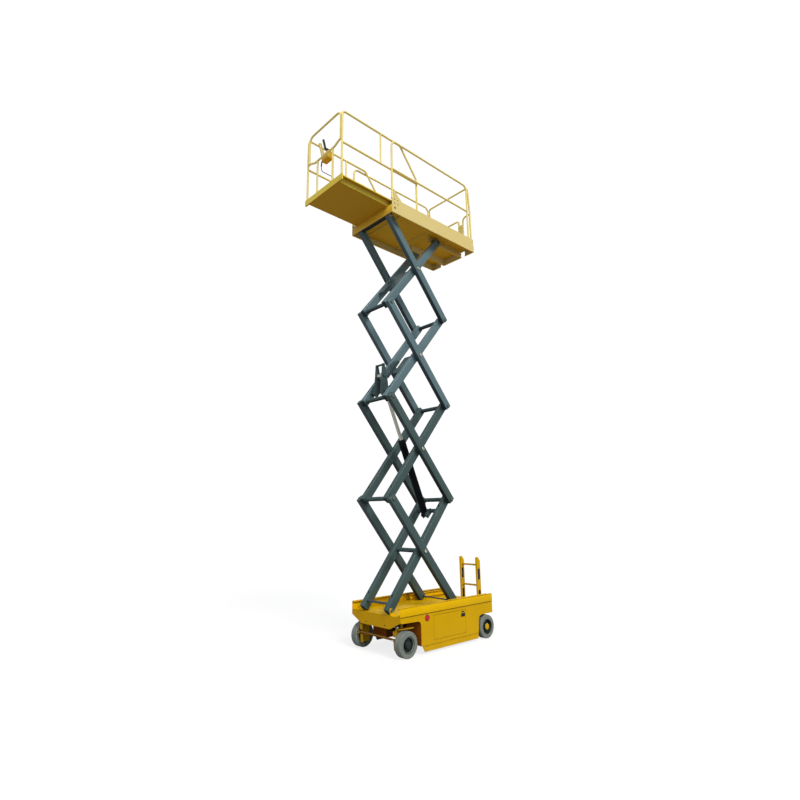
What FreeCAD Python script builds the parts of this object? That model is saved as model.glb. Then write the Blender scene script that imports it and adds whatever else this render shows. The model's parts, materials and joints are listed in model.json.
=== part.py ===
import FreeCAD, Part
import math
import os

# Electric slab scissor lift, raised, with its platform extension run out.
# Frame while modelling: X = 0 midway between the axles, +X to the steered end, +Y to the machine's left,
# Z = 0 on the ground. The finished solids are moved along X so that the origin is under the middle.

V = FreeCAD.Vector
X_AXIS = V(1, 0, 0)
Y_AXIS = V(0, 1, 0)
Z_AXIS = V(0, 0, 1)

# Chassis sizes
CHASSIS_HALF_L = 1122.0
CHASSIS_HALF_W = 575.0
AXLE_SETBACK = 169.5
TYRE_R = 190.0
TYRE_W = 127.0
TYRE_BORE_R = 122.0
TYRE_SHOULDER = 14.0
TRAY_FLOOR = 591.0
TRAY_WALL_TOP = 712.0
TRAY_FLANGE = 38.0
WALL_SLOPE = 95.0
SHEET = 5.0
PLATE = 8.0
SKIN_INSET = 7.0
FRONT_ARCH_REACH = 280.5
FRONT_ARCH_TOP = 490.0
REAR_ARCH_REACH = 217.5
REAR_ARCH_TOP = 402.0
ARCH_R = 60.0
SKIRT_BOTTOM = 128.0
SPINE_HALF_W = 245.0
SPINE_BOTTOM = 235.0
SPINE_TAIL = 330.0
FRONT_PLATE_BOTTOM = 400.0
FRONT_PLATE_FLAT = 335.0
FRONT_PLATE_SHOULDER = 512.0
FRONT_LIP = 32.0
TIE_DOWN_Y = 220.0
TIE_DOWN_R = 12.5
TIE_DOWN_RISE = 38.0
DOOR_HALF_L = 386.0
DOOR_BOTTOM = 180.0
DOOR_TOP = 534.0
DOOR_GAP = 4.0
DOOR_FOLD = 16.0
DOOR_SHEET = 3.0
LATCH_L = 75.0
LATCH_H = 28.0
LATCH_INSET = 25.0
GUARD_BOTTOM = 37.0
GUARD_T = 6.0
GUARD_TUBE_R = 7.0
GUARD_SLOPE = 45.0
STOP_BUTTON_Z = 517.0
STOP_BUTTON_R = 42.0
BUTTON_RING = 12.0
BATTERY_HALF_L = 340.0
BATTERY_H = 366.0
POWER_H = 196.0
TANK_R = 60.0
MOTOR_R = 70.0

# Steering sizes
KINGPIN_INSET = 155.0
KINGPIN_R = 22.0
KINGPIN_SHOW = 52.0
BEAM_H = 80.0
BEAM_HALF_W = 42.0
BEAM_WALL = 8.0
KNUCKLE_TOP = 398.0
KNUCKLE_PLATE = 12.0
KNUCKLE_WEB = 20.0
KNUCKLE_FLANGE = 42.0
TIE_ARM = 150.0
TIE_Z = 236.0
TIE_R = 17.0
STEER_ARM = 80.0
STEER_FOOT_Y = -150.0
STEER_BARREL_L = 375.0
STEER_BARREL_R = 24.0
STEER_ROD_R = 12.0
FRONT_SPINDLE_R = 28.0
REAR_SPINDLE_R = 34.0

# Scissor sizes
ARM_L = 2180.0
ARM_DEPTH = 120.0
ARM_W = 60.0
ARM_WALL = 6.0
ARM_END = 38.0
ARM_CHAMFER = 12.0
ARM_CLEAR = 37.0
OUTER_INSET = 154.0
STAGES = 4
LIFT_REST = 50.4
LIFT_LOW = 4.0
LIFT_HIGH = 54.0
PIVOT_Z = 662.0
PIVOT_SETBACK = 34.0
PIN_R = 25.0
PIN_FIT = 0.05
SIDE_GAP = 0.4
BOSS_R = 34.0
WASHER_R = 30.0
WASHER_T = 6.6
TUBE_R = 36.0
AXLE_ROD_R = 12.0
ROLLER_R = 30.0
ROLLER_W = 24.0
RAIL_PLAY = 1.0
RAIL_T = 6.0
TRACK_INSET = 4.0
SEAT_LUG_T = 22.0
TIE_PLATE_H = 60.0

# Lift cylinder sizes
FOOT_FROM_END = 350.0
FOOT_N = 20.0
FOOT_TUBE_DROP = 110.0
FOOT_TUBE_N = -15.0
HEAD_S = 420.0
HEAD_N = 185.0
TIP_S = 555.0
TIP_N = 320.0
TIP_R = 27.0
TIP_PIN_R = 18.0
LEVER_BASE_S = 200.0
LEVER_Y = 74.0
LUG_T = 20.0
BARREL_R = 52.0
COLLAR_R = 59.0
COLLAR_L = 90.0
BARREL_NECK = 70.0
BARREL_BORE_START = 90.0
CLOSED_GAP = 64.0
ROD_R = 32.0
EYE_R = 45.0
FOOT_EYE_HALF_W = 36.0
HEAD_HALF_W = 68.0
LUG_GAP = 5.0
FOOT_PIN_R = 22.0

# Platform sizes
DECK_NOSE = 90.0
DECK_TAIL_INSET = 8.0
DECK_SIDE_INSET = 3.0
DECK_SKIRT_DROP = 39.0
TOE_RISE = 246.0
TOE_FLANGE = 39.0
DECK_RISE = 98.0
RIB_DEPTH = 20.0
RIB_W = 50.0
EXT_OUT = 1106.0
EXT_LAP = 708.0
EXT_STROKE = 1050.0
EXT_SIDE_GAP = 44.0
EXT_RISE = 122.0
EXT_CHANNEL_H = 100.0
EXT_FLANGE = 78.0
EXT_BAR_H = 113.0
EXT_BAR_T = 24.0
RUNNER_Y = 405.0
RUNNER_W = 30.0
RAIL_R = 19.0
MAIN_TOP_RISE = 1444.0
MAIN_MID_RISE = 854.0
MAIN_BEND = 110.0
FRONT_POST_IN = 20.0
REAR_POST_IN = 129.0
REAR_HOOP_IN = 44.0
REAR_HOOP_LEAN = 45.0
EXT_TOP_RISE = 1484.0
EXT_MID_RISE = 864.0
EXT_LEG_IN = -10.0
EXT_BRACE_IN = 430.0
EXT_BRACE_RISE = 949.0
EXT_POST_BACK = 894.0
FRONT_TOP_RISE = 1503.0
FRONT_MID_RISE = 889.0
FRONT_END_RISE = 944.0
RAIL_BEND = 75.0
FRONT_BARS = (-205.0, 250.0)
SIDE_HOLE_R = 22.0
BOLT_HOLE_R = 5.5
GATE_HALF_W = 250.0
GATE_GAP = 8.0
GATE_POST_Y = 360.0
GATE_POST_W = 89.0
GATE_TOP_RISE = 799.0
GATE_HINGE_IN = 25.0
GATE_SIDE_RISE = 824.0
HINGE_R = 9.0

# Ladder sizes
LADDER_GAP = 19.0
LADDER_DEPTH = 100.0
LADDER_Y = 45.0
LADDER_HALF_W = 205.0
LADDER_TOP = 1308.0
LADDER_BOTTOM = 406.0
LADDER_RAIL_T = 30.0
LADDER_WALL = 3.0
RUNG_R = 16.0
RUNG_PITCH = 356.0
SLOT_W = 50.0

# What follows from the sizes above
AXLE_X = CHASSIS_HALF_L - AXLE_SETBACK
SKIN_HALF_W = CHASSIS_HALF_W - SKIN_INSET
WHEEL_Y = CHASSIS_HALF_W - TYRE_W / 2
KINGPIN_Y = CHASSIS_HALF_W - KINGPIN_INSET
FRONT_ARCH_REAR = AXLE_X - FRONT_ARCH_REACH
REAR_ARCH_FRONT = REAR_ARCH_REACH - AXLE_X
OUTER_FACE = CHASSIS_HALF_W - OUTER_INSET
INNER_FACE = OUTER_FACE - ARM_W - ARM_CLEAR
INSIDE = INNER_FACE - ARM_W - SIDE_GAP
PIVOT_X = CHASSIS_HALF_L - PIVOT_SETBACK
LIFT = math.radians(LIFT_REST)
STAGE_H = ARM_L * math.sin(LIFT)
REAR_X = PIVOT_X - ARM_L * math.cos(LIFT)
TOP_Z = PIVOT_Z + STAGES * STAGE_H
TRACK_REAR = TRACK_INSET - CHASSIS_HALF_L
TRACK_FRONT = PIVOT_X - ARM_L * math.cos(math.radians(LIFT_HIGH)) + 3 * ROLLER_R
FOOT_S = ARM_L - FOOT_FROM_END
DECK_FRONT = PIVOT_X + DECK_NOSE
DECK_REAR = DECK_TAIL_INSET - CHASSIS_HALF_L
DECK_HALF_W = CHASSIS_HALF_W - DECK_SIDE_INSET
DECK_TOP = TOP_Z + DECK_RISE
TOE_TOP = TOP_Z + TOE_RISE
EXT_FRONT = DECK_FRONT + EXT_OUT
EXT_REAR = DECK_FRONT - EXT_LAP
EXT_HALF_W = DECK_HALF_W - EXT_SIDE_GAP
EXT_FLOOR = TOP_Z + EXT_RISE
EXT_RAIL_X = EXT_FRONT - RAIL_R - 2
GATE_X = DECK_REAR + REAR_HOOP_IN
LADDER_FRONT = -CHASSIS_HALF_L - LADDER_GAP
LADDER_REAR = LADDER_FRONT - LADDER_DEPTH
X_SHIFT = -(EXT_FRONT + LADDER_REAR) / 2
SIDES = (("left", 1), ("right", -1))


def box(x0, x1, y0, y1, z0, z1):
    """A block between two opposite corners, whichever order the ends are given in."""
    low = V(min(x0, x1), min(y0, y1), min(z0, z1))
    return Part.makeBox(abs(x1 - x0), abs(y1 - y0), abs(z1 - z0), low)


def rod_y(x, z, r, y0, y1):
    """A round bar along Y."""
    return Part.makeCylinder(r, abs(y1 - y0), V(x, min(y0, y1), z), Y_AXIS)


def rod_x(y, z, r, x0, x1):
    """A round bar along X."""
    return Part.makeCylinder(r, abs(x1 - x0), V(min(x0, x1), y, z), X_AXIS)


def rod_z(x, y, r, z0, z1):
    """A round bar along Z."""
    return Part.makeCylinder(r, abs(z1 - z0), V(x, y, min(z0, z1)), Z_AXIS)


def plate_xz(points, y0, y1):
    """A plate whose outline is drawn in X and Z, from y0 to y1."""
    low = min(y0, y1)
    wire = Part.makePolygon([V(x, low, z) for x, z in points + points[:1]])
    return Part.Face(wire).extrude(V(0, abs(y1 - y0), 0))


def plate_yz(points, x0, x1):
    """A plate whose outline is drawn in Y and Z, from x0 to x1."""
    low = min(x0, x1)
    wire = Part.makePolygon([V(low, y, z) for y, z in points + points[:1]])
    return Part.Face(wire).extrude(V(abs(x1 - x0), 0, 0))


def plate_xy(points, z0, z1):
    """A plate whose outline is drawn in X and Y, from z0 to z1."""
    low = min(z0, z1)
    wire = Part.makePolygon([V(x, y, low) for x, y in points + points[:1]])
    return Part.Face(wire).extrude(V(0, 0, abs(z1 - z0)))


def join(*shapes):
    """One clean solid from pieces that touch or overlap."""
    first = shapes[0]
    if len(shapes) > 1:
        first = first.multiFuse(list(shapes[1:]))
    return first.removeSplitter()


def mirrored(shape):
    """The same piece on the machine's other side."""
    return shape.mirror(V(0, 0, 0), Y_AXIS)


def bent_tube(points, r, bend):
    """A round tube's solid along straight runs joined by arcs of one bend radius."""
    radii = [bend] * (len(points) - 2)
    return arc_tube(points, r, radii)


def cord_tube(points, r):
    """A cable's solid, each arc as large as the two runs beside it allow."""
    radii = []
    for before, corner, after in zip(points, points[1:], points[2:]):
        half_turn = (corner - before).getAngle(after - corner) / 2
        shorter = min((corner - before).Length, (after - corner).Length)
        radii.append(0.45 * shorter / math.tan(half_turn))
    print("cable radii", [round(value, 1) for value in radii])
    return arc_tube(points, r, radii)


def arc_tube(points, r, radii):
    """A round tube's solid along straight runs, with one bend radius for each corner."""
    edges = []
    start = points[0]
    for before, corner, after, bend in zip(points, points[1:], points[2:], radii):
        back = (before - corner).normalize()
        ahead = (after - corner).normalize()
        half = back.getAngle(ahead) / 2
        reach = bend / math.tan(half)
        middle = (back + ahead).normalize()
        first = corner + back * reach
        last = corner + ahead * reach
        top = corner + middle * (bend / math.sin(half) - bend)
        edges.append(Part.makeLine(start, first))
        edges.append(Part.Arc(first, top, last).toShape())
        start = last
    edges.append(Part.makeLine(start, points[-1]))
    path = Part.Wire(edges)
    ring = Part.Wire(Part.makeCircle(r, points[0], points[1] - points[0]))
    return path.makePipeShell([ring], True, True)


def save(node, *solids):
    """Write one node's solids, moved so that the origin is under the machine's middle."""
    shape = solids[0] if len(solids) == 1 else Part.makeCompound(list(solids))
    shape = shape.copy()
    shape.translate(V(X_SHIFT, 0, 0))
    shape.exportStep("parts/" + node + ".step")
    print(node, len(shape.Solids), "solids", round(shape.Volume / 1e6, 2), "litres", shape.isValid())


def front_joint(level, lift=LIFT):
    """Front joint at a level, 0 on the chassis and STAGES on the platform."""
    return V(PIVOT_X, 0, PIVOT_Z + level * ARM_L * math.sin(lift))


def rear_joint(level):
    """Rear joint at a level."""
    return V(REAR_X, 0, PIVOT_Z + level * STAGE_H)


def on_inner(level, s, n, lift=LIFT):
    """A place on an inner arm: s along it from its front joint at a level, n square to it and upward."""
    along = V(-math.cos(lift), 0, math.sin(lift))
    upward = V(math.sin(lift), 0, math.cos(lift))
    return front_joint(level, lift) + along * s + upward * n


def set_inner(shape, stage):
    """Turn and place a piece drawn along -X from a stage's lower front joint."""
    placed = shape.copy()
    placed.rotate(V(0, 0, 0), Y_AXIS, LIFT_REST)
    placed.translate(front_joint(stage - 1))
    return placed


def set_outer(shape, stage):
    """Turn and place a piece drawn along +X from a stage's lower rear joint."""
    placed = shape.copy()
    placed.rotate(V(0, 0, 0), Y_AXIS, -LIFT_REST)
    placed.translate(rear_joint(stage - 1))
    return placed


def arm(direction, face):
    """One hollow scissor arm with its three bored bosses, drawn along X from its lower joint."""
    half = ARM_DEPTH / 2
    near = -ARM_END
    far = ARM_L + ARM_END
    outline = [(near, -half + ARM_CHAMFER), (near + ARM_CHAMFER, -half), (far - ARM_CHAMFER, -half),
               (far, -half + ARM_CHAMFER), (far, half - ARM_CHAMFER), (far - ARM_CHAMFER, half),
               (near + ARM_CHAMFER, half), (near, half - ARM_CHAMFER)]
    body = plate_xz([(direction * x, z) for x, z in outline], face - ARM_W, face)
    hollow = box(direction * (near - 1), direction * (far + 1), face - ARM_W + ARM_WALL, face - ARM_WALL,
                 -half + ARM_WALL, half - ARM_WALL)
    body = body.cut(hollow)
    for along in (0, ARM_L / 2, ARM_L):
        body = body.fuse(rod_y(direction * along, 0, BOSS_R, face - ARM_W, face))
    for along in (0, ARM_L / 2, ARM_L):
        body = body.cut(rod_y(direction * along, 0, PIN_R + PIN_FIT, face - ARM_W - 1, face + 1))
    return body.removeSplitter()


def through_pin(s):
    """A shaft between both pairs of arms: tube inside, a collar between each pair and end washers."""
    pin_end = OUTER_FACE + 16
    parts = [rod_y(-s, 0, PIN_R, -pin_end, pin_end), rod_y(-s, 0, TUBE_R, -INSIDE, INSIDE)]
    for side in (1, -1):
        parts.append(collar(s, side))
        parts.append(washer(s, side))
    return join(*parts)


def collar(s, side):
    """The spacer on a pin between an inner and an outer arm."""
    return rod_y(-s, 0, BOSS_R, side * (INNER_FACE + SIDE_GAP), side * (OUTER_FACE - ARM_W - SIDE_GAP))


def washer(s, side):
    """The washer on a pin outside the outer arm."""
    start = OUTER_FACE + SIDE_GAP
    return rod_y(-s, 0, WASHER_R, side * start, side * (start + WASHER_T))


def scissor():
    """All arms and shafts of the four stages."""
    inner_arm = arm(-1, INNER_FACE)
    outer_arm = arm(1, OUTER_FACE)
    shafts = {
        1: pivot_stubs() + [through_pin(ARM_L / 2), through_pin(ARM_L), cylinder_foot()],
        2: centre_stubs() + [through_pin(0), through_pin(ARM_L)],
        3: centre_stubs() + [through_pin(0), through_pin(ARM_L)] + cylinder_levers() + side_ties(),
        4: top_roller_pins() + [through_pin(0), through_pin(ARM_L / 2), full_tie()],
    }
    for stage in range(1, STAGES + 1):
        save("inner_arms_%d" % stage, set_inner(inner_arm, stage), set_inner(mirrored(inner_arm), stage))
        save("outer_arms_%d" % stage, set_outer(outer_arm, stage), set_outer(mirrored(outer_arm), stage))
        save("inner_shafts_%d" % stage, *[set_inner(shaft, stage) for shaft in shafts[stage]])
    save("outer_shaft_low", set_outer(low_roller_shaft(), 1))
    save("outer_shaft_top", set_outer(top_front_shaft(), STAGES))


def pivot_stubs():
    """The short pivot pins of the bottom stage and the cross tube just above them."""
    tube_s = 78.0
    tube_n = 38.0
    tube_r = 20.0
    head = INSIDE - 10
    stub = join(rod_y(0, 0, PIN_R, head, INNER_FACE + 34), rod_y(0, 0, WASHER_R, head, INSIDE))
    return [stub, mirrored(stub), rod_y(-tube_s, tube_n, tube_r, -INSIDE, INSIDE)]


def centre_stubs():
    """The crossing pins of a stage that the lift cylinder passes through: one short pin on each side."""
    s = ARM_L / 2
    head = INSIDE - 10
    stub = join(rod_y(-s, 0, PIN_R, head, OUTER_FACE + 16), rod_y(-s, 0, WASHER_R, head, INSIDE),
                collar(s, 1), washer(s, 1))
    return [stub, mirrored(stub)]


def top_roller_pins():
    """The pins at the top rear joint, each with its roller inboard of the arm."""
    roller_out = INSIDE - 6
    pin = join(rod_y(-ARM_L, 0, PIN_R, roller_out - ROLLER_W, INNER_FACE + 10),
               rod_y(-ARM_L, 0, ROLLER_R, roller_out - ROLLER_W, roller_out),
               rod_y(-ARM_L, 0, ROLLER_R, INNER_FACE + SIDE_GAP, INNER_FACE + 8))
    return [pin, mirrored(pin)]


def low_roller_shaft():
    """The rollers at the bottom rear joint on their pins, held together by a thin rod."""
    roller_in = OUTER_FACE + 6
    inside = OUTER_FACE - ARM_W - SIDE_GAP
    parts = [rod_y(0, 0, AXLE_ROD_R, -inside, inside)]
    for side in (1, -1):
        parts.append(rod_y(0, 0, PIN_R, side * (inside - 12), side * (roller_in + ROLLER_W + 2)))
        parts.append(rod_y(0, 0, WASHER_R, side * (inside - 12), side * inside))
        parts.append(rod_y(0, 0, ROLLER_R, side * roller_in, side * (roller_in + ROLLER_W)))
    return join(*parts)


def top_front_shaft():
    """The shaft at the top front joint, which the platform's lugs hold."""
    inside = OUTER_FACE - ARM_W - SIDE_GAP
    return join(rod_y(ARM_L, 0, PIN_R, -OUTER_FACE - 34, OUTER_FACE + 34),
                rod_y(ARM_L, 0, TUBE_R, -inside, inside))


def full_tie():
    """The plate across the top stage's inner arms, notched for the lever tips below it."""
    start = HEAD_S + 100
    notch_end = TIP_S + 145
    end = ARM_L / 2 - TUBE_R - 14
    notch_y = LEVER_Y + LUG_T + 11
    plate = box(-start, -end, -INSIDE, INSIDE, 0, TIE_PLATE_H)
    hollow = box(-start + 1, -end - 1, -INSIDE + SHEET, INSIDE - SHEET, -1, TIE_PLATE_H - SHEET)
    notch = box(-start + 1, -notch_end, -notch_y, notch_y, -1, TIE_PLATE_H + 1)
    return plate.cut(hollow).cut(notch).removeSplitter()


def side_ties():
    """The plates beside the lift cylinder on the third stage's inner arms."""
    start = HEAD_S + 180
    end = ARM_L / 2 - TUBE_R
    plate = box(-start, -end, COLLAR_R + 24, INSIDE, TIE_PLATE_H - SHEET, TIE_PLATE_H)
    rib = box(-start, -end, COLLAR_R + 24, COLLAR_R + 24 + SHEET, 0, TIE_PLATE_H)
    side = join(plate, rib)
    return [side, mirrored(side)]


def cylinder_foot():
    """The cross tube and the ears that carry the cylinder's foot pin, near the rear of the bottom stage."""
    tube_s = FOOT_S + FOOT_TUBE_DROP
    parts = [rod_y(-tube_s, FOOT_TUBE_N, TUBE_R, -INSIDE, INSIDE)]
    inner = FOOT_EYE_HALF_W + LUG_GAP
    for side in (1, -1):
        outline = [(-tube_s - 30, FOOT_TUBE_N - 38), (-FOOT_S + 38, FOOT_TUBE_N - 22),
                   (-FOOT_S + 45, FOOT_N + 20), (-FOOT_S + 10, FOOT_N + 42), (-FOOT_S - 30, FOOT_N + 38),
                   (-tube_s - 30, FOOT_TUBE_N + 38)]
        parts.append(plate_xz(outline, side * inner, side * (inner + LUG_T)))
    pin_end = inner + LUG_T + 8
    parts.append(rod_y(-FOOT_S, FOOT_N, FOOT_PIN_R, -pin_end, pin_end))
    return join(*parts)


def cylinder_levers():
    """The two upright levers over which the cylinder lifts the third stage, and the pin at their tips."""
    outer = LEVER_Y + LUG_T
    outline = [(-LEVER_BASE_S + 100, -40), (-LEVER_BASE_S - 100, -40), (-HEAD_S - 40, HEAD_N - 40),
               (-TIP_S - TIP_R, TIP_N - 12), (-TIP_S - TIP_R, TIP_N), (-TIP_S, TIP_N + TIP_R),
               (-TIP_S + 20, TIP_N + TIP_R - 9), (-HEAD_S + 40, HEAD_N + 45), (-LEVER_BASE_S + 100, 40)]
    parts = [rod_y(-TIP_S, TIP_N, TIP_PIN_R, -outer - 12, outer + 12)]
    for side in (1, -1):
        parts.append(plate_xz(outline, side * LEVER_Y, side * outer))
        parts.append(rod_y(-HEAD_S, HEAD_N, PIN_R + 8, side * outer, side * (outer + 12)))
        parts.append(rod_y(-LEVER_BASE_S, 0, TUBE_R, side * outer, side * INSIDE))
    return [join(*parts)]


def lift_cylinder():
    """The lift cylinder between the first and third stage: a black barrel with its foot eye, and a rod."""
    low = math.radians(LIFT_LOW)
    closed = (on_inner(2, HEAD_S, HEAD_N, low) - on_inner(0, FOOT_S, FOOT_N, low)).Length
    foot = on_inner(0, FOOT_S, FOOT_N)
    reach = on_inner(2, HEAD_S, HEAD_N) - foot
    length = reach.Length
    lean = math.degrees(math.atan2(reach.z, reach.x))
    barrel_l = closed - CLOSED_GAP
    rod_start = length - (closed - BARREL_BORE_START - 9)

    def placed(shape):
        """Turn a piece drawn along +X from the foot's pin into line with the cylinder."""
        turned = shape.copy()
        turned.rotate(V(0, 0, 0), Y_AXIS, -lean)
        turned.translate(foot)
        return turned

    half = FOOT_EYE_HALF_W
    barrel = join(rod_y(0, 0, EYE_R, -half, half), box(0, BARREL_NECK + 1, -half, half, -30, 30),
                  rod_x(0, 0, BARREL_R, BARREL_NECK, barrel_l - COLLAR_L / 2),
                  rod_x(0, 0, COLLAR_R, barrel_l - COLLAR_L, barrel_l),
                  rod_z(BARREL_NECK + 50, 0, 16, BARREL_R - 6, BARREL_R + 18))
    barrel = barrel.cut(rod_y(0, 0, FOOT_PIN_R + PIN_FIT, -half - 1, half + 1))
    barrel = barrel.cut(rod_x(0, 0, ROD_R + PIN_FIT, BARREL_BORE_START, barrel_l + 1))
    save("lift_barrel", placed(barrel))
    rod = join(rod_x(0, 0, ROD_R, rod_start, length), rod_y(length, 0, EYE_R, -HEAD_HALF_W, HEAD_HALF_W))
    save("lift_rod", placed(rod))
    print("cylinder closed", round(closed, 1), "at rest", round(length, 1), "lean", round(lean, 3))


def wheels():
    """Four wheels, each a solid rubber tyre round a dished steel rim."""
    half = TYRE_W / 2
    shoulder = TYRE_SHOULDER
    mid = shoulder * (1 - math.sqrt(0.5))
    corners = [V(TYRE_BORE_R, -half, 0), V(TYRE_R - shoulder, -half, 0), V(TYRE_R, -half + shoulder, 0),
               V(TYRE_R, half - shoulder, 0), V(TYRE_R - shoulder, half, 0), V(TYRE_BORE_R, half, 0)]
    edges = [Part.makeLine(corners[0], corners[1]),
             Part.Arc(corners[1], V(TYRE_R - mid, -half + mid, 0), corners[2]).toShape(),
             Part.makeLine(corners[2], corners[3]),
             Part.Arc(corners[3], V(TYRE_R - mid, half - mid, 0), corners[4]).toShape(),
             Part.makeLine(corners[4], corners[5]),
             Part.makeLine(corners[5], corners[0])]
    tyre = Part.Face(Part.Wire(edges)).revolve(V(0, 0, 0), Y_AXIS, 360)
    for end, axle in (("front", AXLE_X), ("rear", -AXLE_X)):
        for name, side in SIDES:
            place = V(axle, side * WHEEL_Y, TYRE_R)
            save("tyre_%s_%s" % (end, name), tyre.translated(place))
            save("rim_%s_%s" % (end, name), rim(side, end).translated(place))


def rim(side, end):
    """A rim round its wheel's centre: barrel, dished disc and hub cap, with the bore on its spindle."""
    half = TYRE_W / 2
    face = half - 12
    dish = face - 38
    hub_r = 62.0
    spindle_r = FRONT_SPINDLE_R if end == "front" else REAR_SPINDLE_R
    bore = spindle_r + PIN_FIT
    seat = TYRE_BORE_R - 0.2
    outline = [(bore, -half + 20), (hub_r, -half + 20), (hub_r, dish - 10), (seat - 12, dish - 10),
               (seat - 12, -half + 6), (seat, -half + 6), (seat, face), (seat - 10, face),
               (seat - 24, dish), (hub_r, dish), (hub_r - 10, face + 4), (bore, face + 4)]
    wire = Part.makePolygon([V(r, t, 0) for r, t in outline + outline[:1]])
    body = Part.Face(wire).revolve(V(0, 0, 0), Y_AXIS, 360)
    return body if side > 0 else mirrored(body)


def knuckle(side):
    """A steering knuckle: plate over the tyre, kingpin, inboard channel, tie rod lug and spindle."""
    x = AXLE_X
    top = KNUCKLE_TOP + KNUCKLE_PLATE
    web_y = WHEEL_Y - TYRE_W / 2 - 43
    web_out = web_y + KNUCKLE_WEB
    low = TYRE_R - 92
    front_low = x + 108
    front_high = x + 130
    outline = [(x - 62, low), (front_low, low), (front_high, KNUCKLE_TOP - 24), (x + 110, KNUCKLE_TOP),
               (x + 110, top), (x - 62, top)]
    web = plate_xz(outline, web_y, web_out)
    flange = plate_xz([(front_low - 12, low), (front_low, low), (front_high, KNUCKLE_TOP - 24),
                       (front_high - 12, KNUCKLE_TOP - 24)], web_y - KNUCKLE_FLANGE, web_out)
    channel = join(web, flange).cut(box(x + 90, x + 200, web_y - KNUCKLE_FLANGE - 1, web_out + 1,
                                        TIE_Z - 12, TIE_Z + 54))
    cover = plate_xy([(x - 62, web_y), (x + 110, web_y), (x + 110, web_out + 55), (x - 60, web_out + 95),
                      (x - 170, web_out + 95), (x - 170, web_out + 50)], KNUCKLE_TOP, top)
    lug = box(x + 70, x + TIE_ARM + 18, KINGPIN_Y - 18, KINGPIN_Y + 18, TIE_Z, TIE_Z + KNUCKLE_PLATE)
    washer_low = top + KINGPIN_SHOW - 10
    pin_top = top + KINGPIN_SHOW + BEAM_H - 6
    parts = [channel, cover, lug, rod_z(x, KINGPIN_Y, KINGPIN_R, KNUCKLE_TOP, pin_top),
             rod_z(x, KINGPIN_Y, KINGPIN_R + 10, washer_low, top + KINGPIN_SHOW - 2),
             rod_y(x, TYRE_R, FRONT_SPINDLE_R, web_out - 1, WHEEL_Y + TYRE_W / 2 - 18),
             rod_y(x, TYRE_R, 45, web_out - 1, WHEEL_Y - TYRE_W / 2 + 12)]
    body = join(*parts).cut(rod_z(x + TIE_ARM, KINGPIN_Y, 10 + PIN_FIT, TIE_Z - 1, TIE_Z + KNUCKLE_PLATE + 1))
    return body if side > 0 else mirrored(body)


def steering():
    """Knuckles, tie rod and steering cylinder."""
    for name, side in SIDES:
        save("knuckle_%s" % name, knuckle(side))
    x = AXLE_X + TIE_ARM
    eye_low = TIE_Z + KNUCKLE_PLATE + 2
    rod_z0 = eye_low + 12
    pieces = [rod_y(x, rod_z0, TIE_R, -KINGPIN_Y + 55, KINGPIN_Y - 55),
              rod_y(x, rod_z0, STEER_ROD_R, -KINGPIN_Y + 15, KINGPIN_Y - 15)]
    for side in (1, -1):
        pieces.append(rod_z(x, side * KINGPIN_Y, 20, eye_low, eye_low + 24))
        pieces.append(rod_z(x, side * KINGPIN_Y, 10, TIE_Z, eye_low + 1))
    save("tie_rod", join(*pieces))
    cx = AXLE_X + STEER_ARM
    cz = KNUCKLE_TOP + KNUCKLE_PLATE + 16
    end_y = STEER_FOOT_Y + STEER_BARREL_L
    barrel = join(rod_y(cx, cz, STEER_BARREL_R, STEER_FOOT_Y + 44, end_y - 15),
                  rod_y(cx, cz, STEER_BARREL_R + 4, end_y - 40, end_y),
                  rod_z(cx, STEER_FOOT_Y, STEER_BARREL_R + 2, cz - 16, cz + 16),
                  box(cx - 16, cx + 16, STEER_FOOT_Y, STEER_FOOT_Y + 45, cz - 12, cz + 12))
    barrel = barrel.cut(rod_y(cx, cz, STEER_ROD_R + PIN_FIT, STEER_FOOT_Y + 60, end_y + 1))
    save("steer_barrel", barrel)
    save("steer_rod", join(rod_y(cx, cz, STEER_ROD_R, STEER_FOOT_Y + 130, KINGPIN_Y - 10),
                           rod_z(cx, KINGPIN_Y, STEER_ROD_R + 7, cz - 14, cz + 12)))


def front_axle():
    """The beam under the tray that holds the kingpins, with the bracket of the steering cylinder."""
    x = AXLE_X
    low = KNUCKLE_TOP + KNUCKLE_PLATE + KINGPIN_SHOW
    high = low + BEAM_H
    tray_under = TRAY_FLOOR - SHEET
    wall = BEAM_WALL
    beam = box(x - BEAM_HALF_W, x + BEAM_HALF_W, -KINGPIN_Y, KINGPIN_Y, low + 14, high - 14)
    hollow = box(x - BEAM_HALF_W + wall, x + BEAM_HALF_W - wall, -KINGPIN_Y + 60, KINGPIN_Y - 60,
                 low + 14 + wall, high - 14 - wall)
    parts = [beam.cut(hollow)]
    for side in (1, -1):
        parts.append(rod_z(x, side * KINGPIN_Y, BEAM_HALF_W, low, high))
        for hanger in (120, KINGPIN_Y - 78):
            parts.append(box(x - BEAM_HALF_W, x + BEAM_HALF_W, side * hanger, side * (hanger + 12), high - 15,
                             tray_under))
    cx = AXLE_X + STEER_ARM
    top = KNUCKLE_TOP + KNUCKLE_PLATE + 32
    parts.append(box(x + BEAM_HALF_W - 2, cx + 30, STEER_FOOT_Y - 32, STEER_FOOT_Y + 32, top + 0.3, top + 14))
    parts.append(box(x + BEAM_HALF_W - 2, x + BEAM_HALF_W + 10, STEER_FOOT_Y - 32, STEER_FOOT_Y + 32,
                     top + 0.3, low + 20))
    body = join(*parts)
    for side in (1, -1):
        body = body.cut(rod_z(x, side * KINGPIN_Y, KINGPIN_R + PIN_FIT, low - 1, high + 1))
    save("front_axle", body)


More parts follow.
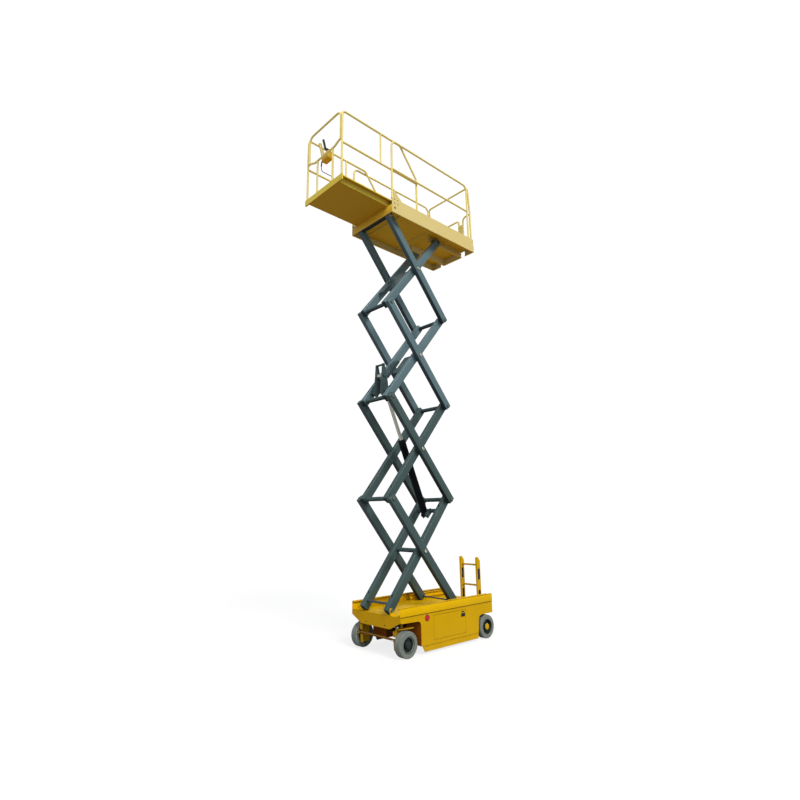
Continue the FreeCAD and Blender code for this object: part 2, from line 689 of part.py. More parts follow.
def rear_axle():
    """The rear wheels' drive motors on their hangers, the tube between them and the wheels' stubs."""
    x = -AXLE_X
    wheel_in = WHEEL_Y - TYRE_W / 2
    stub_out = WHEEL_Y + TYRE_W / 2 - 18
    disc_out = wheel_in - 20
    hanger = disc_out - 26
    parts = []
    for side in (1, -1):
        parts.append(rod_y(x, TYRE_R, 72, side * (SPINE_HALF_W + SHEET), side * (disc_out - 8)))
        parts.append(rod_y(x, TYRE_R, 92, side * (disc_out - 30), side * disc_out))
        parts.append(rod_y(x, TYRE_R, REAR_SPINDLE_R, side * (disc_out - 2), side * stub_out))
        parts.append(rod_y(x, TYRE_R, 50, side * (disc_out - 2), side * (wheel_in + 12)))
        parts.append(box(x - 80, x + 80, side * (hanger - 14), side * hanger, TYRE_R - 20, REAR_ARCH_TOP - 6))
        parts.append(box(x - 80, x + 80, side * (SPINE_HALF_W + 0.3), side * hanger, REAR_ARCH_TOP - 18,
                         REAR_ARCH_TOP - 6))
    parts.append(box(x - 55, x + 55, -SPINE_HALF_W - 15, SPINE_HALF_W + 15, TYRE_R - 40, SPINE_BOTTOM))
    save("rear_axle", join(*parts))


def tray():
    """The chassis tray: floor and side walls with flat top flanges, the walls cut down at the front."""
    half_l = CHASSIS_HALF_L
    slope_start = half_l - WALL_SLOPE
    half_w = CHASSIS_HALF_W
    parts = [box(-half_l, half_l - PLATE - 4, -half_w, half_w, TRAY_FLOOR - SHEET, TRAY_FLOOR)]
    profile = [(-half_l, TRAY_FLOOR - SHEET), (half_l, TRAY_FLOOR - SHEET), (half_l, TRAY_FLOOR + 20),
               (slope_start, TRAY_WALL_TOP), (-half_l, TRAY_WALL_TOP)]
    for side in (1, -1):
        outer = side * half_w
        parts.append(plate_xz(profile, outer, outer - side * SHEET))
        parts.append(box(-half_l, slope_start, outer, outer - side * TRAY_FLANGE, TRAY_WALL_TOP - SHEET,
                         TRAY_WALL_TOP))
        parts.append(box(-half_l, slope_start, outer - side * (TRAY_FLANGE - 4), outer - side * TRAY_FLANGE,
                         TRAY_WALL_TOP - 16, TRAY_WALL_TOP))
    save("tray", join(*parts))


def chassis():
    """Tray, spine, side boxes, front plate, scissor seats and the masses in the side boxes."""
    tray()
    half_l = CHASSIS_HALF_L
    top = TRAY_FLOOR - SHEET
    width = SPINE_HALF_W
    rear = REAR_ARCH_FRONT - SPINE_TAIL
    spine = box(rear, FRONT_ARCH_REAR, -width, width, SPINE_BOTTOM, top)
    inside = box(rear - 1, FRONT_ARCH_REAR + 1, SHEET - width, width - SHEET, SPINE_BOTTOM + SHEET,
                 top - SHEET)
    save("spine", spine.cut(inside))
    half_w = CHASSIS_HALF_W - 2
    outline = [(-FRONT_PLATE_FLAT, FRONT_PLATE_BOTTOM), (FRONT_PLATE_FLAT, FRONT_PLATE_BOTTOM),
               (half_w, FRONT_PLATE_SHOULDER), (half_w, top), (-half_w, top), (-half_w, FRONT_PLATE_SHOULDER)]
    lip = box(half_l - PLATE - FRONT_LIP, half_l - PLATE, -FRONT_PLATE_FLAT, FRONT_PLATE_FLAT,
              FRONT_PLATE_BOTTOM, FRONT_PLATE_BOTTOM + SHEET)
    bumper = join(plate_yz(outline, half_l - PLATE, half_l), lip)
    for side in (1, -1):
        bumper = bumper.cut(rod_x(side * TIE_DOWN_Y, FRONT_PLATE_BOTTOM + TIE_DOWN_RISE, TIE_DOWN_R,
                                  half_l - PLATE - 1, half_l + 1))
    save("front_plate", bumper)
    save("rear_plate", box(-half_l, SHEET - half_l, -width, width, REAR_ARCH_TOP, top))
    save("side_boxes", side_box(1), side_box(-1))
    for name, side in SIDES:
        save("door_%s" % name, door(side))
        save("guard_%s" % name, guard(side))
    masses()
    seats()
    ladder()


def masses():
    """The battery pack, the power unit and the stop button, all inside or on the side boxes."""
    floor = SKIRT_BOTTOM + 6.3
    y0 = SPINE_HALF_W + 30
    y1 = SKIN_HALF_W - 28
    save("battery_pack", box(-BATTERY_HALF_L, BATTERY_HALF_L, y0, y1, floor, floor + BATTERY_H))
    split = BATTERY_HALF_L / 5
    power = join(box(-BATTERY_HALF_L, split, -y0 - 20, -y1, floor, floor + POWER_H),
                 rod_x(-(y0 + y1) / 2, floor + POWER_H + TANK_R, MOTOR_R, -BATTERY_HALF_L + 20, split),
                 box(split, BATTERY_HALF_L, -y0 - 20, -y1, floor, floor + 2 * POWER_H - TANK_R))
    save("power_unit", power)
    x = (DOOR_HALF_L + FRONT_ARCH_REAR) / 2 + 5
    save("stop_button", join(rod_y(x, STOP_BUTTON_Z, STOP_BUTTON_R, SKIN_HALF_W + 0.3, CHASSIS_HALF_W - 2),
                             rod_y(x, STOP_BUTTON_Z, STOP_BUTTON_R - BUTTON_RING, SKIN_HALF_W + 0.3,
                                   CHASSIS_HALF_W)))


def side_box(side):
    """One side of the chassis: skin with both wheel arches and the door's opening, ends and floor."""
    front = CHASSIS_HALF_L - PLATE - 1
    rear = -CHASSIS_HALF_L
    top = TRAY_FLOOR - SHEET
    rear_end = REAR_ARCH_FRONT + 10
    outline = [(rear, REAR_ARCH_TOP), (REAR_ARCH_FRONT - 90, REAR_ARCH_TOP),
               (REAR_ARCH_FRONT - 25, REAR_ARCH_TOP - 20), (REAR_ARCH_FRONT, REAR_ARCH_TOP - 80),
               (rear_end, SKIRT_BOTTOM + 25), (rear_end + 25, SKIRT_BOTTOM),
               (FRONT_ARCH_REAR, SKIRT_BOTTOM), (FRONT_ARCH_REAR, FRONT_ARCH_TOP - ARCH_R),
               (FRONT_ARCH_REAR + 18, FRONT_ARCH_TOP - 18), (FRONT_ARCH_REAR + ARCH_R, FRONT_ARCH_TOP),
               (front - 30, FRONT_ARCH_TOP + 10), (front, FRONT_PLATE_SHOULDER), (front, top), (rear, top)]
    outer = side * SKIN_HALF_W
    skin = plate_xz(outline, outer, outer - side * SHEET)
    skin = skin.cut(box(-DOOR_HALF_L - DOOR_GAP, DOOR_HALF_L + DOOR_GAP, outer + side,
                        outer - side * (SHEET + 1), DOOR_BOTTOM - DOOR_GAP, DOOR_TOP + DOOR_GAP))
    inner = side * SPINE_HALF_W
    skin_in = outer - side * SHEET
    parts = [skin,
             box(FRONT_ARCH_REAR - SHEET, FRONT_ARCH_REAR, inner, skin_in, SKIRT_BOTTOM, top),
             box(rear_end, rear_end + SHEET, inner, skin_in, SKIRT_BOTTOM, top),
             box(rear_end, FRONT_ARCH_REAR, inner, skin_in, SKIRT_BOTTOM, SKIRT_BOTTOM + 6),
             box(rear_end, FRONT_ARCH_REAR, inner, inner + side * SHEET, SKIRT_BOTTOM, top),
             box(rear, rear + 90, inner, skin_in, REAR_ARCH_TOP, REAR_ARCH_TOP + SHEET),
             box(rear, rear + SHEET, inner, skin_in, REAR_ARCH_TOP, top)]
    return join(*parts)


def door(side):
    """A side door with its folded edges, its latch and hinge knuckles at its front edge."""
    outer = side * SKIN_HALF_W
    fold_in = outer - side * DOOR_FOLD
    rear = -DOOR_HALF_L
    t = DOOR_SHEET
    latch_x = rear + LATCH_INSET
    latch_z = DOOR_TOP - LATCH_H - 62
    parts = [box(rear, DOOR_HALF_L, outer, outer - side * t, DOOR_BOTTOM, DOOR_TOP),
             box(rear, DOOR_HALF_L - 18, outer, fold_in, DOOR_BOTTOM, DOOR_BOTTOM + t),
             box(rear, DOOR_HALF_L - 18, outer, fold_in, DOOR_TOP - t, DOOR_TOP),
             box(rear, rear + t, outer, fold_in, DOOR_BOTTOM, DOOR_TOP),
             box(latch_x, latch_x + LATCH_L, outer, outer + side * 4, latch_z, latch_z + LATCH_H)]
    for z in (DOOR_BOTTOM + 60, DOOR_TOP - 60):
        parts.append(rod_z(DOOR_HALF_L + 1, outer, 2.6, z - 25, z + 25))
    return join(*parts)


def guard(side):
    """A pothole guard, the plate that drops under the skirt when the platform is raised."""
    outer = side * (SKIN_HALF_W - GUARD_T)
    front = FRONT_ARCH_REAR - 32
    rear = REAR_ARCH_FRONT + 13
    hinge_z = SKIRT_BOTTOM - GUARD_TUBE_R - 0.3
    plate = plate_xz([(rear, hinge_z), (front, hinge_z), (front - GUARD_SLOPE, GUARD_BOTTOM),
                      (rear + 10, GUARD_BOTTOM)], outer, outer - side * GUARD_T)
    return join(plate, rod_x(outer - side * GUARD_T / 2, hinge_z, GUARD_TUBE_R, rear, front))


def seats():
    """The front pivots' lugs and the rear rollers' tracks on the tray."""
    solids = []
    near = OUTER_FACE + 6
    web = near + ROLLER_W + 4
    for side in (1, -1):
        y0 = side * (INNER_FACE + 6)
        y1 = side * (INNER_FACE + 6 + SEAT_LUG_T)
        outline = [(PIVOT_X - 62, TRAY_FLOOR), (CHASSIS_HALF_L - PLATE - 6, TRAY_FLOOR),
                   (PIVOT_X + 26, PIVOT_Z), (PIVOT_X - 30, PIVOT_Z + 4)]
        lug = join(plate_xz(outline, y0, y1), rod_y(PIVOT_X, PIVOT_Z, 32, y0, y1))
        solids.append(lug.cut(rod_y(PIVOT_X, PIVOT_Z, PIN_R + PIN_FIT, y0 - side, y1 + side)))
        solids.append(track(side, near, web, PIVOT_Z, TRAY_FLOOR))
    save("scissor_seats", *solids)


def track(side, near, web, z, base):
    """A channel that a roller runs in: web beside the roller, flanges over and under it, reaching base."""
    gap = ROLLER_R + RAIL_PLAY
    back = web + math.copysign(RAIL_T, web - near)
    low = min(base, z - gap - RAIL_T)
    high = max(base, z + gap + RAIL_T)
    return join(box(TRACK_REAR, TRACK_FRONT, side * web, side * back, low, high),
                box(TRACK_REAR, TRACK_FRONT, side * near, side * back, z - gap - RAIL_T, z - gap),
                box(TRACK_REAR, TRACK_FRONT, side * near, side * back, z + gap, z + gap + RAIL_T))


def ladder_rail(y):
    """A hollow ladder rail with a sloped top and two hand slots in its left face."""
    top = LADDER_TOP
    wall = LADDER_WALL

    def outline(inset):
        """The rail's side view, drawn in by a wall's thickness for its hollow."""
        return [(LADDER_FRONT - inset, LADDER_BOTTOM + inset), (LADDER_FRONT - inset, top - 14 - inset),
                (LADDER_FRONT - 14, top - inset), (LADDER_FRONT - 48, top - inset),
                (LADDER_REAR + inset, top - 70 - inset),
                (LADDER_REAR + inset, LADDER_BOTTOM + 60 + inset / 2),
                (LADDER_REAR + 50 + inset / 2, LADDER_BOTTOM + inset)]

    half = LADDER_RAIL_T / 2
    rail = plate_xz(outline(0), y - half, y + half)
    rail = rail.cut(plate_xz(outline(wall), y - half + wall, y + half - wall))
    slot_x = (LADDER_FRONT + LADDER_REAR - SLOT_W) / 2
    for low, high in ((top - 728, top - 578), (top - 389, top - 208)):
        rail = rail.cut(box(slot_x, slot_x + SLOT_W, y + half + 1, y + half - wall - 1, low, high))
    return rail


def ladder():
    """The rear ladder: two deep hollow rails, the rungs between them and the brackets behind them."""
    reach = LADDER_HALF_W - LADDER_RAIL_T
    rung_x = (LADDER_FRONT + LADDER_REAR) / 2
    parts = []
    for side in (1, -1):
        y = LADDER_Y + side * (LADDER_HALF_W - LADDER_RAIL_T / 2)
        parts.append(ladder_rail(y))
        for z in (TRAY_FLOOR - 60, REAR_ARCH_TOP + 15):
            parts.append(box(-CHASSIS_HALF_L - 0.3, LADDER_FRONT - 1, y - 22, y + 22, z, z + 45))
    for step in range(3):
        z = LADDER_BOTTOM + 50 + step * RUNG_PITCH
        parts.append(rod_y(rung_x, z, RUNG_R, LADDER_Y - reach - 1, LADDER_Y + reach + 1))
    save("ladder", join(*parts))


def platform():
    """The main platform, its rails and gate, and the extension with its rails and control box."""
    under = DECK_TOP - SHEET
    skirt = TOP_Z - DECK_SKIRT_DROP
    half = DECK_HALF_W
    lug_in = OUTER_FACE + 8
    lug_out = OUTER_FACE + 28
    roller_out = INSIDE - 6
    parts = [box(DECK_REAR, DECK_FRONT, -half, half, under, DECK_TOP),
             box(DECK_REAR, DECK_REAR + SHEET, -half, half, under - 18, DECK_TOP),
             box(DECK_FRONT - SHEET, DECK_FRONT, -half, half, skirt, EXT_FLOOR - 2)]
    for rib_x in (DECK_REAR / 2, 0, DECK_FRONT - 378):
        parts.append(box(rib_x - RIB_W / 2, rib_x + RIB_W / 2, -half, half, under - RIB_DEPTH, under))
    for side in (1, -1):
        parts.append(deck_side(side, skirt))
        parts.append(box(PIVOT_X - 40, PIVOT_X + 40, side * lug_in, side * lug_out, TOP_Z, under))
        parts.append(rod_y(PIVOT_X, TOP_Z, 40, side * lug_in, side * lug_out))
        parts.append(track(side, roller_out, roller_out - ROLLER_W - 4, TOP_Z, under))
        parts.append(box(EXT_REAR - EXT_STROKE - 10, DECK_FRONT - 10, side * RUNNER_Y,
                         side * (RUNNER_Y + RUNNER_W), DECK_TOP, EXT_FLOOR - 0.3))
    deck = join(*parts)
    for side in (1, -1):
        deck = deck.cut(rod_y(PIVOT_X, TOP_Z, PIN_R + PIN_FIT, side * (lug_in - 1), side * (lug_out + 1)))
    save("platform_deck", deck)
    main_rails()
    rear_rails()
    extension()


def deck_side(side, skirt):
    """A side plate of the main deck: lower and upper flanges, a corner gusset and its bolt holes."""
    outer = side * DECK_HALF_W
    inner = outer - side * PLATE
    post_rear = DECK_FRONT - FRONT_POST_IN - RAIL_R
    gusset = [(post_rear - 205, TOE_TOP), (post_rear, TOE_TOP), (post_rear, TOE_TOP + 189)]
    body = join(box(DECK_REAR, DECK_FRONT, outer, inner, skirt, TOE_TOP),
                box(DECK_REAR, DECK_FRONT, outer, outer - side * 30, skirt, skirt + SHEET),
                box(DECK_REAR, DECK_FRONT, outer, outer - side * TOE_FLANGE, TOE_TOP - SHEET, TOE_TOP),
                plate_xz(gusset, outer, inner))
    holes = [(DECK_FRONT - 72, TOP_Z + 60, SIDE_HOLE_R)]
    for x in (DECK_FRONT - 139, DECK_FRONT - 64):
        for z in (TOP_Z + 149, TOP_Z + 231):
            holes.append((x, z, BOLT_HOLE_R))
    for x, z, r in holes:
        body = body.cut(rod_y(x, z, r, outer + side, inner - side))
    return body


def main_rails():
    """Side rails of the main platform: a bent frame and its mid rail on each side."""
    y = DECK_HALF_W - RAIL_R
    top = TOP_Z + MAIN_TOP_RISE
    front = DECK_FRONT - FRONT_POST_IN
    rear = DECK_REAR + REAR_POST_IN
    frame = bent_tube([V(front, y, TOE_TOP), V(front, y, top), V(rear, y, top), V(rear, y, TOE_TOP)],
                      RAIL_R, MAIN_BEND)
    side = join(frame, rod_x(y, TOP_Z + MAIN_MID_RISE, RAIL_R, front, rear))
    save("main_side_rails", side, mirrored(side))


def rear_rails():
    """The rear hoop, the short rails and posts beside the gate, and the gate."""
    y = DECK_HALF_W - RAIL_R
    top = TOP_Z + MAIN_TOP_RISE - 15
    knee = TOP_Z + MAIN_MID_RISE + 15
    lean_x = GATE_X + REAR_HOOP_LEAN
    post_rear = DECK_REAR + REAR_POST_IN - RAIL_R
    hoop = bent_tube([V(GATE_X, y, TOE_TOP), V(GATE_X, y, knee), V(lean_x, y, top), V(lean_x, -y, top),
                      V(GATE_X, -y, knee), V(GATE_X, -y, TOE_TOP)], RAIL_R, 60)
    parts = [hoop]
    plate_in = GATE_HALF_W + RAIL_R + GATE_GAP
    for side in (1, -1):
        parts.append(bent_tube([V(GATE_X, side * y, TOP_Z + GATE_SIDE_RISE),
                                V(GATE_X, side * GATE_POST_Y, TOP_Z + GATE_SIDE_RISE),
                                V(GATE_X, side * GATE_POST_Y, DECK_TOP)], RAIL_R - 1, 90))
        parts.append(box(GATE_X - 3, GATE_X + 3, side * plate_in, side * (plate_in + GATE_POST_W), DECK_TOP,
                         TOP_Z + GATE_SIDE_RISE - 145))
        parts.append(box(lean_x - 4, post_rear - 0.3, side * (y - 8), side * (y + 8), top - 130, top - 90))
    hinge_x = GATE_X + GATE_HINGE_IN
    hinge_y = GATE_HALF_W + RAIL_R + GATE_GAP / 2
    gate_low = DECK_TOP + 130
    gate_high = TOP_Z + MAIN_MID_RISE - 236
    for z in (gate_low, gate_high):
        outline = [(GATE_X + 3, hinge_y + 32), (GATE_X + 3, hinge_y + 12),
                   (hinge_x - HINGE_R, hinge_y - HINGE_R), (hinge_x + HINGE_R, hinge_y - HINGE_R),
                   (hinge_x + HINGE_R, hinge_y + HINGE_R)]
        parts.append(plate_xy(outline, z - 8.3, z - 0.3))
    save("rear_rail", join(*parts))
    gate_top = TOP_Z + GATE_TOP_RISE
    foot = DECK_TOP + 70
    w = GATE_HALF_W
    corners = [V(GATE_X, -w, foot), V(GATE_X, -w, gate_top), V(GATE_X, w, gate_top), V(GATE_X, w, foot)]
    leaf = [bent_tube(corners, RAIL_R, 60),
            rod_y(GATE_X, foot + 30, RAIL_R - 3, -w, w),
            rod_y(GATE_X, (foot + gate_top) / 2, RAIL_R - 3, -w, w)]
    for z in (gate_low, gate_high):
        leaf.append(rod_z(hinge_x, hinge_y, HINGE_R, z, z + 40))
        leaf.append(box(GATE_X, hinge_x, w, hinge_y, z + 8, z + 32))
    save("gate", join(*leaf))


def extension():
    """The sliding deck with its side channels, rails, control box and cable."""
    floor = EXT_FLOOR
    half = EXT_HALF_W
    web = half - EXT_FLANGE
    channel_top = floor + EXT_CHANNEL_H
    parts = [box(EXT_REAR, EXT_FRONT, -web, web, floor, floor + 4),
             box(EXT_FRONT - EXT_BAR_T, EXT_FRONT, -half - 17, half + 17, floor, floor + EXT_BAR_H)]
    for side in (1, -1):
        inner = side * (web - SHEET)
        parts.append(box(EXT_REAR, EXT_FRONT - 20, side * web, inner, floor, channel_top))
        parts.append(box(EXT_REAR, EXT_FRONT - 20, inner, side * half, channel_top - SHEET, channel_top))
        parts.append(box(EXT_REAR, EXT_FRONT - 20, side * half, side * (half - 4), channel_top - 22,
                         channel_top))
    gland_y = FRONT_BARS[1] - 30
    gland_x = EXT_RAIL_X - 60
    parts.append(rod_z(gland_x, gland_y, 13, floor, floor + 34))
    save("ext_deck", join(*parts))
    ext_rails()
    control(gland_x, gland_y)


def ext_rails():
    """The extension's side rails and its front frame."""
    y = EXT_HALF_W - RAIL_R
    base = EXT_FLOOR + EXT_CHANNEL_H
    bar_top = EXT_FLOOR + EXT_BAR_H
    top = TOP_Z + EXT_TOP_RISE
    mid = TOP_Z + EXT_MID_RISE
    front = EXT_RAIL_X
    leg = EXT_REAR + EXT_LEG_IN + RAIL_R
    brace = EXT_REAR + EXT_BRACE_IN
    post = EXT_FRONT - EXT_POST_BACK
    frame = bent_tube([V(front, y, bar_top), V(front, y, top), V(brace, y, top),
                       V(leg, y, TOP_Z + EXT_BRACE_RISE), V(leg, y, base)], RAIL_R, RAIL_BEND)
    side = join(frame, rod_x(y, mid, RAIL_R, front, leg), rod_z(post, y, RAIL_R - 3, mid, top))
    save("ext_side_rails", side, mirrored(side))
    inner = y - RAIL_R - 0.3
    leg_y = inner - RAIL_R - 1
    u_top = TOP_Z + FRONT_TOP_RISE
    ends = TOP_Z + FRONT_END_RISE
    middle = TOP_Z + FRONT_MID_RISE
    knee = inner - 60
    hoop = bent_tube([V(front, leg_y, ends), V(front, leg_y, u_top), V(front, -leg_y, u_top),
                      V(front, -leg_y, ends)], RAIL_R, MAIN_BEND)
    bar = bent_tube([V(front, inner, ends), V(front, knee, ends), V(front, knee - 140, middle),
                     V(front, 140 - knee, middle), V(front, -knee, ends), V(front, -inner, ends)], RAIL_R, 60)
    uprights = [rod_z(front, bar_y, RAIL_R - 1, bar_top + 0.3, middle) for bar_y in FRONT_BARS]
    save("ext_front_rail", join(hoop, bar, *uprights))


def control(gland_x, gland_y):
    """The control box on the front rail with its hook, lever and cable."""
    face = EXT_RAIL_X - RAIL_R - 0.3
    low = TOP_Z + FRONT_MID_RISE - 80
    high = low + 270
    y0 = FRONT_BARS[0] - 30
    y1 = 107.0
    outline = [(face, low), (face, high), (face - 112, high), (face - 150, high - 55), (face - 150, low + 95),
               (face - 70, low)]
    hook = plate_yz([(y0 + 1, low + 190), (y0 + 1, high - 10), (y0 - 36, high + 245), (y0 - 62, high + 245),
                     (y0 - 24, low + 190)], face - 60, face - 54)
    cord_y = y0 + 59
    cord_top = low - 14
    gland = rod_z(gland_x, cord_y, 13, cord_top, low + 40)
    save("control_box", join(plate_xz(outline, y0, y1), hook, gland))
    lever_x = face - 90
    stick = bent_tube([V(lever_x, y0 + 107, high + 0.3), V(lever_x, y0 + 107, high + 90),
                       V(lever_x, y0 + 20, high + 300)], 15, 60)
    grip = join(rod_z(lever_x, y0 + 107, 26, high + 0.3, high + 30),
                rod_y(lever_x, high + 24, 10, y0 + 107, y0 + 240))
    save("joystick", join(stick, grip))
    route = [(cord_y, cord_top), (cord_y, cord_top - 85), (cord_y + 62, cord_top - 165),
             (cord_y + 150, cord_top - 232), (cord_y + 236, cord_top - 312), (gland_y - 42, cord_top - 408),
             (gland_y - 6, cord_top - 505), (gland_y, cord_top - 575), (gland_y, EXT_FLOOR + 34)]
    save("control_cable", cord_tube([V(gland_x, y, z) for y, z in route], 7))


def main():
    """Build every node."""
    os.makedirs("parts", exist_ok=True)
    chassis()
    front_axle()
    rear_axle()
    steering()
    wheels()
    scissor()
    lift_cylinder()
    platform()


main()
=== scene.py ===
"""Looks, studio and camera for the raised scissor lift.

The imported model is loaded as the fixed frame. Each sub-assembly is a class that dresses its CAD nodes with procedural
finishes and adds the small parts that the solids leave out: wheel trim, latches, pin keepers, fittings and controls.
Lengths are in metres, in the frame of the CAD.
"""

import json
import logging
import math
from dataclasses import dataclass
from enum import Enum
from typing import Iterable, Sequence

import bpy
from mathutils import Matrix, Vector


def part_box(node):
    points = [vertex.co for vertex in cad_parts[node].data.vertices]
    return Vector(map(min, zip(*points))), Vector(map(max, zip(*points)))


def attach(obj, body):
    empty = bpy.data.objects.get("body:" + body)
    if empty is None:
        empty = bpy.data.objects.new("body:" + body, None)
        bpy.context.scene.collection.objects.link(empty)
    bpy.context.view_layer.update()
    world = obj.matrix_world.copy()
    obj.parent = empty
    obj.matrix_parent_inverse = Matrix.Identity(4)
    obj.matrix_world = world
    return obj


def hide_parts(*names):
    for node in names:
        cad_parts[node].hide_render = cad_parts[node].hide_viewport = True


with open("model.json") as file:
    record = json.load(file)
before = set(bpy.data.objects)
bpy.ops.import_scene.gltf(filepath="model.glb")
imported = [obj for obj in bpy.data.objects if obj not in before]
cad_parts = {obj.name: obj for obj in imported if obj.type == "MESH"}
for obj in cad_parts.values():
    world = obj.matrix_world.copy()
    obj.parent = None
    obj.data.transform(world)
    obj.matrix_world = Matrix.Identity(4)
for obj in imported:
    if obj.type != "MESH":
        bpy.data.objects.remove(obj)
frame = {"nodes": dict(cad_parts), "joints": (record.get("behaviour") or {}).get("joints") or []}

LOG = logging.getLogger("scissor_lift")
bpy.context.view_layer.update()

Colour = tuple[float, float, float]
Point = tuple[float, float, float]
Profile = Sequence[tuple[float, float]]
Piece = bpy.types.Object
Tree = bpy.types.NodeTree
Node = bpy.types.Node
Socket = bpy.types.NodeSocket

COLOUR_SOCKET = "NodeSocketColor"
VALUE_SOCKET = "NodeSocketFloat"


class Side(Enum):
    """The machine's two sides, with the sign that each has along Y."""

    LEFT = 1
    RIGHT = -1

    @property
    def word(self) -> str:
        """The side's name as the CAD nodes spell it."""
        return self.name.lower()


class Axis(Enum):
    """A direction that a turned part or a bolt points in."""

    POS_X = (1, 0, 0)
    NEG_X = (-1, 0, 0)
    POS_Y = (0, 1, 0)
    NEG_Y = (0, -1, 0)
    POS_Z = (0, 0, 1)
    NEG_Z = (0, 0, -1)


def outward(side: Side) -> Axis:
    """The axis that points away from the machine on a side."""
    return Axis.POS_Y if side is Side.LEFT else Axis.NEG_Y


def place(at: Sequence[float], axis: Axis | Sequence[float] = Axis.POS_Z, turn: float = 0.0) -> Matrix:
    """A matrix that stands a part drawn along +Z on a point.

    Args:
        at: the point in the row frame.
        axis: the direction that the part's +Z is turned to.
        turn: an angle about that direction, in degrees.

    Returns:
        The placing matrix.
    """
    direction = Vector(axis.value if isinstance(axis, Axis) else axis)
    tilt = direction.to_track_quat("Z", "Y").to_matrix().to_4x4()
    return Matrix.Translation(Vector(at)) @ tilt @ Matrix.Rotation(math.radians(turn), 4, "Z")


def joint_at(name: str) -> Vector:
    """The place of a joint of the frame."""
    found = next(joint for joint in frame["joints"] if joint["name"] == name)
    return Vector(found["pos_m"])


class Bench:
    """Shapes primitives into pieces in edit mode and finishes them."""

    @staticmethod
    def only(piece: Piece | None = None) -> None:
        """Deselect everything, then select and activate one piece.

        Args:
            piece: the piece to select, or none.
        """
        active = bpy.context.view_layer.objects.active
        if active and active.mode != "OBJECT":
            bpy.ops.object.mode_set(mode="OBJECT")
        bpy.ops.object.select_all(action="DESELECT")
        if piece:
            piece.select_set(True)
            bpy.context.view_layer.objects.active = piece

    @classmethod
    def close(cls, piece: Piece, sharp: float = 35.0) -> Piece:
        """Merge doubles, turn the faces outward and smooth the shallow edges.

        Args:
            piece: the mesh to finish.
            sharp: edges steeper than this stay sharp, in degrees.

        Returns:
            The same piece.
        """
        cls.only(piece)
        bpy.ops.object.mode_set(mode="EDIT")
        bpy.ops.mesh.select_all(action="SELECT")
        bpy.ops.mesh.remove_doubles(threshold=1e-6)
        bpy.ops.mesh.normals_make_consistent(inside=False)
        bpy.ops.object.mode_set(mode="OBJECT")
        bpy.ops.object.shade_smooth_by_angle(angle=math.radians(sharp))
        return piece

    @classmethod
    def turned(cls, name: str, profile: Profile, segments: int = 32, ring: bool = False) -> Piece:
        """A part turned about +Z, extruded and scaled from circle to circle.

        Args:
            name: the piece's name.
            profile: radius and height of each circle in order.
            segments: sides of the circle.
            ring: true for a closed ring with a hole, whose profile comes back to its start.

        Returns:
            The new piece.
        """
        cls.only()
        radius, height = profile[0]
        bpy.ops.mesh.primitive_circle_add(vertices=segments, radius=radius, location=(0, 0, height),
                                          fill_type="NOTHING" if ring else "NGON")
        piece = bpy.context.object
        piece.name = name
        bpy.ops.object.transform_apply(location=True, rotation=True, scale=True)
        bpy.ops.object.mode_set(mode="EDIT")
        bpy.ops.mesh.select_all(action="SELECT")
        steps = list(profile[1:]) + (list(profile[:1]) if ring else [])
        for next_radius, next_height in steps:
            if ring:
                bpy.ops.mesh.extrude_edges_move()
            else:
                bpy.ops.mesh.extrude_region_move()
            ratio = next_radius / radius
            bpy.ops.transform.resize(value=(ratio, ratio, 1), center_override=(0, 0, height))
            bpy.ops.transform.translate(value=(0, 0, next_height - height))
            radius, height = next_radius, next_height
        return cls.close(piece)

    @classmethod
    def block(cls, name: str, low: Sequence[float], high: Sequence[float], bevel: float = 0.002,
              segments: int = 2) -> Piece:
        """A block between two corners with rounded edges.

        Args:
            name: the piece's name.
            low: its lowest corner.
            high: its highest corner.
            bevel: width of the rounding.
            segments: steps of the rounding.

        Returns:
            The new piece.
        """
        cls.only()
        low, high = Vector(low), Vector(high)
        bpy.ops.mesh.primitive_cube_add(size=1, location=(low + high) / 2, scale=high - low)
        piece = bpy.context.object
        piece.name = name
        bpy.ops.object.transform_apply(location=True, rotation=True, scale=True)
        bpy.ops.object.mode_set(mode="EDIT")
        bpy.ops.mesh.select_all(action="SELECT")
        bpy.ops.mesh.bevel(offset=bevel, segments=segments, affect="EDGES")
        return cls.close(piece)

    @classmethod
    def sunk(cls, piece: Piece, axis: Axis, border: float, depth: float) -> Piece:
        """Inset the faces that look along an axis and push them in.

        Args:
            piece: the piece to shape.
            axis: the direction of the faces.
            border: width of the rim that is left.
            depth: how far the middle is pushed in; a negative depth raises it.

        Returns:
            The same piece.
        """
        cls.only(piece)
        normal = Vector(axis.value)
        for polygon in piece.data.polygons:
            polygon.select = polygon.normal.dot(normal) > 0.99
        bpy.ops.object.mode_set(mode="EDIT")
        bpy.ops.mesh.select_mode(type="FACE")
        bpy.ops.mesh.inset(thickness=border, depth=0)
        bpy.ops.transform.translate(value=-normal * depth)
        return cls.close(piece)

    @classmethod
    def pipe(cls, name: str, points: Sequence[Sequence[float]], radius: float, sides: int = 3) -> Piece:
        """A bent rigid pipe along points, as a mesh with closed ends.

        Args:
            name: the piece's name.
            points: the control points of its line.
            radius: the pipe's radius.
            sides: bevel resolution of its section.

        Returns:
            The new piece.
        """
        cls.only()
        curve = bpy.data.curves.new(name, "CURVE")
        curve.dimensions = "3D"
        spline = curve.splines.new("NURBS")
        spline.points.add(len(points) - 1)
        for control, point in zip(spline.points, points):
            control.co = (*point, 1)
        spline.order_u = 3
        spline.use_endpoint_u = True
        spline.resolution_u = 6
        curve.bevel_depth = radius
        curve.bevel_resolution = sides
        curve.use_fill_caps = True
        piece = bpy.data.objects.new(name, curve)
        bpy.context.scene.collection.objects.link(piece)
        cls.only(piece)
        bpy.ops.object.convert(target="MESH")
        return cls.close(bpy.context.object)

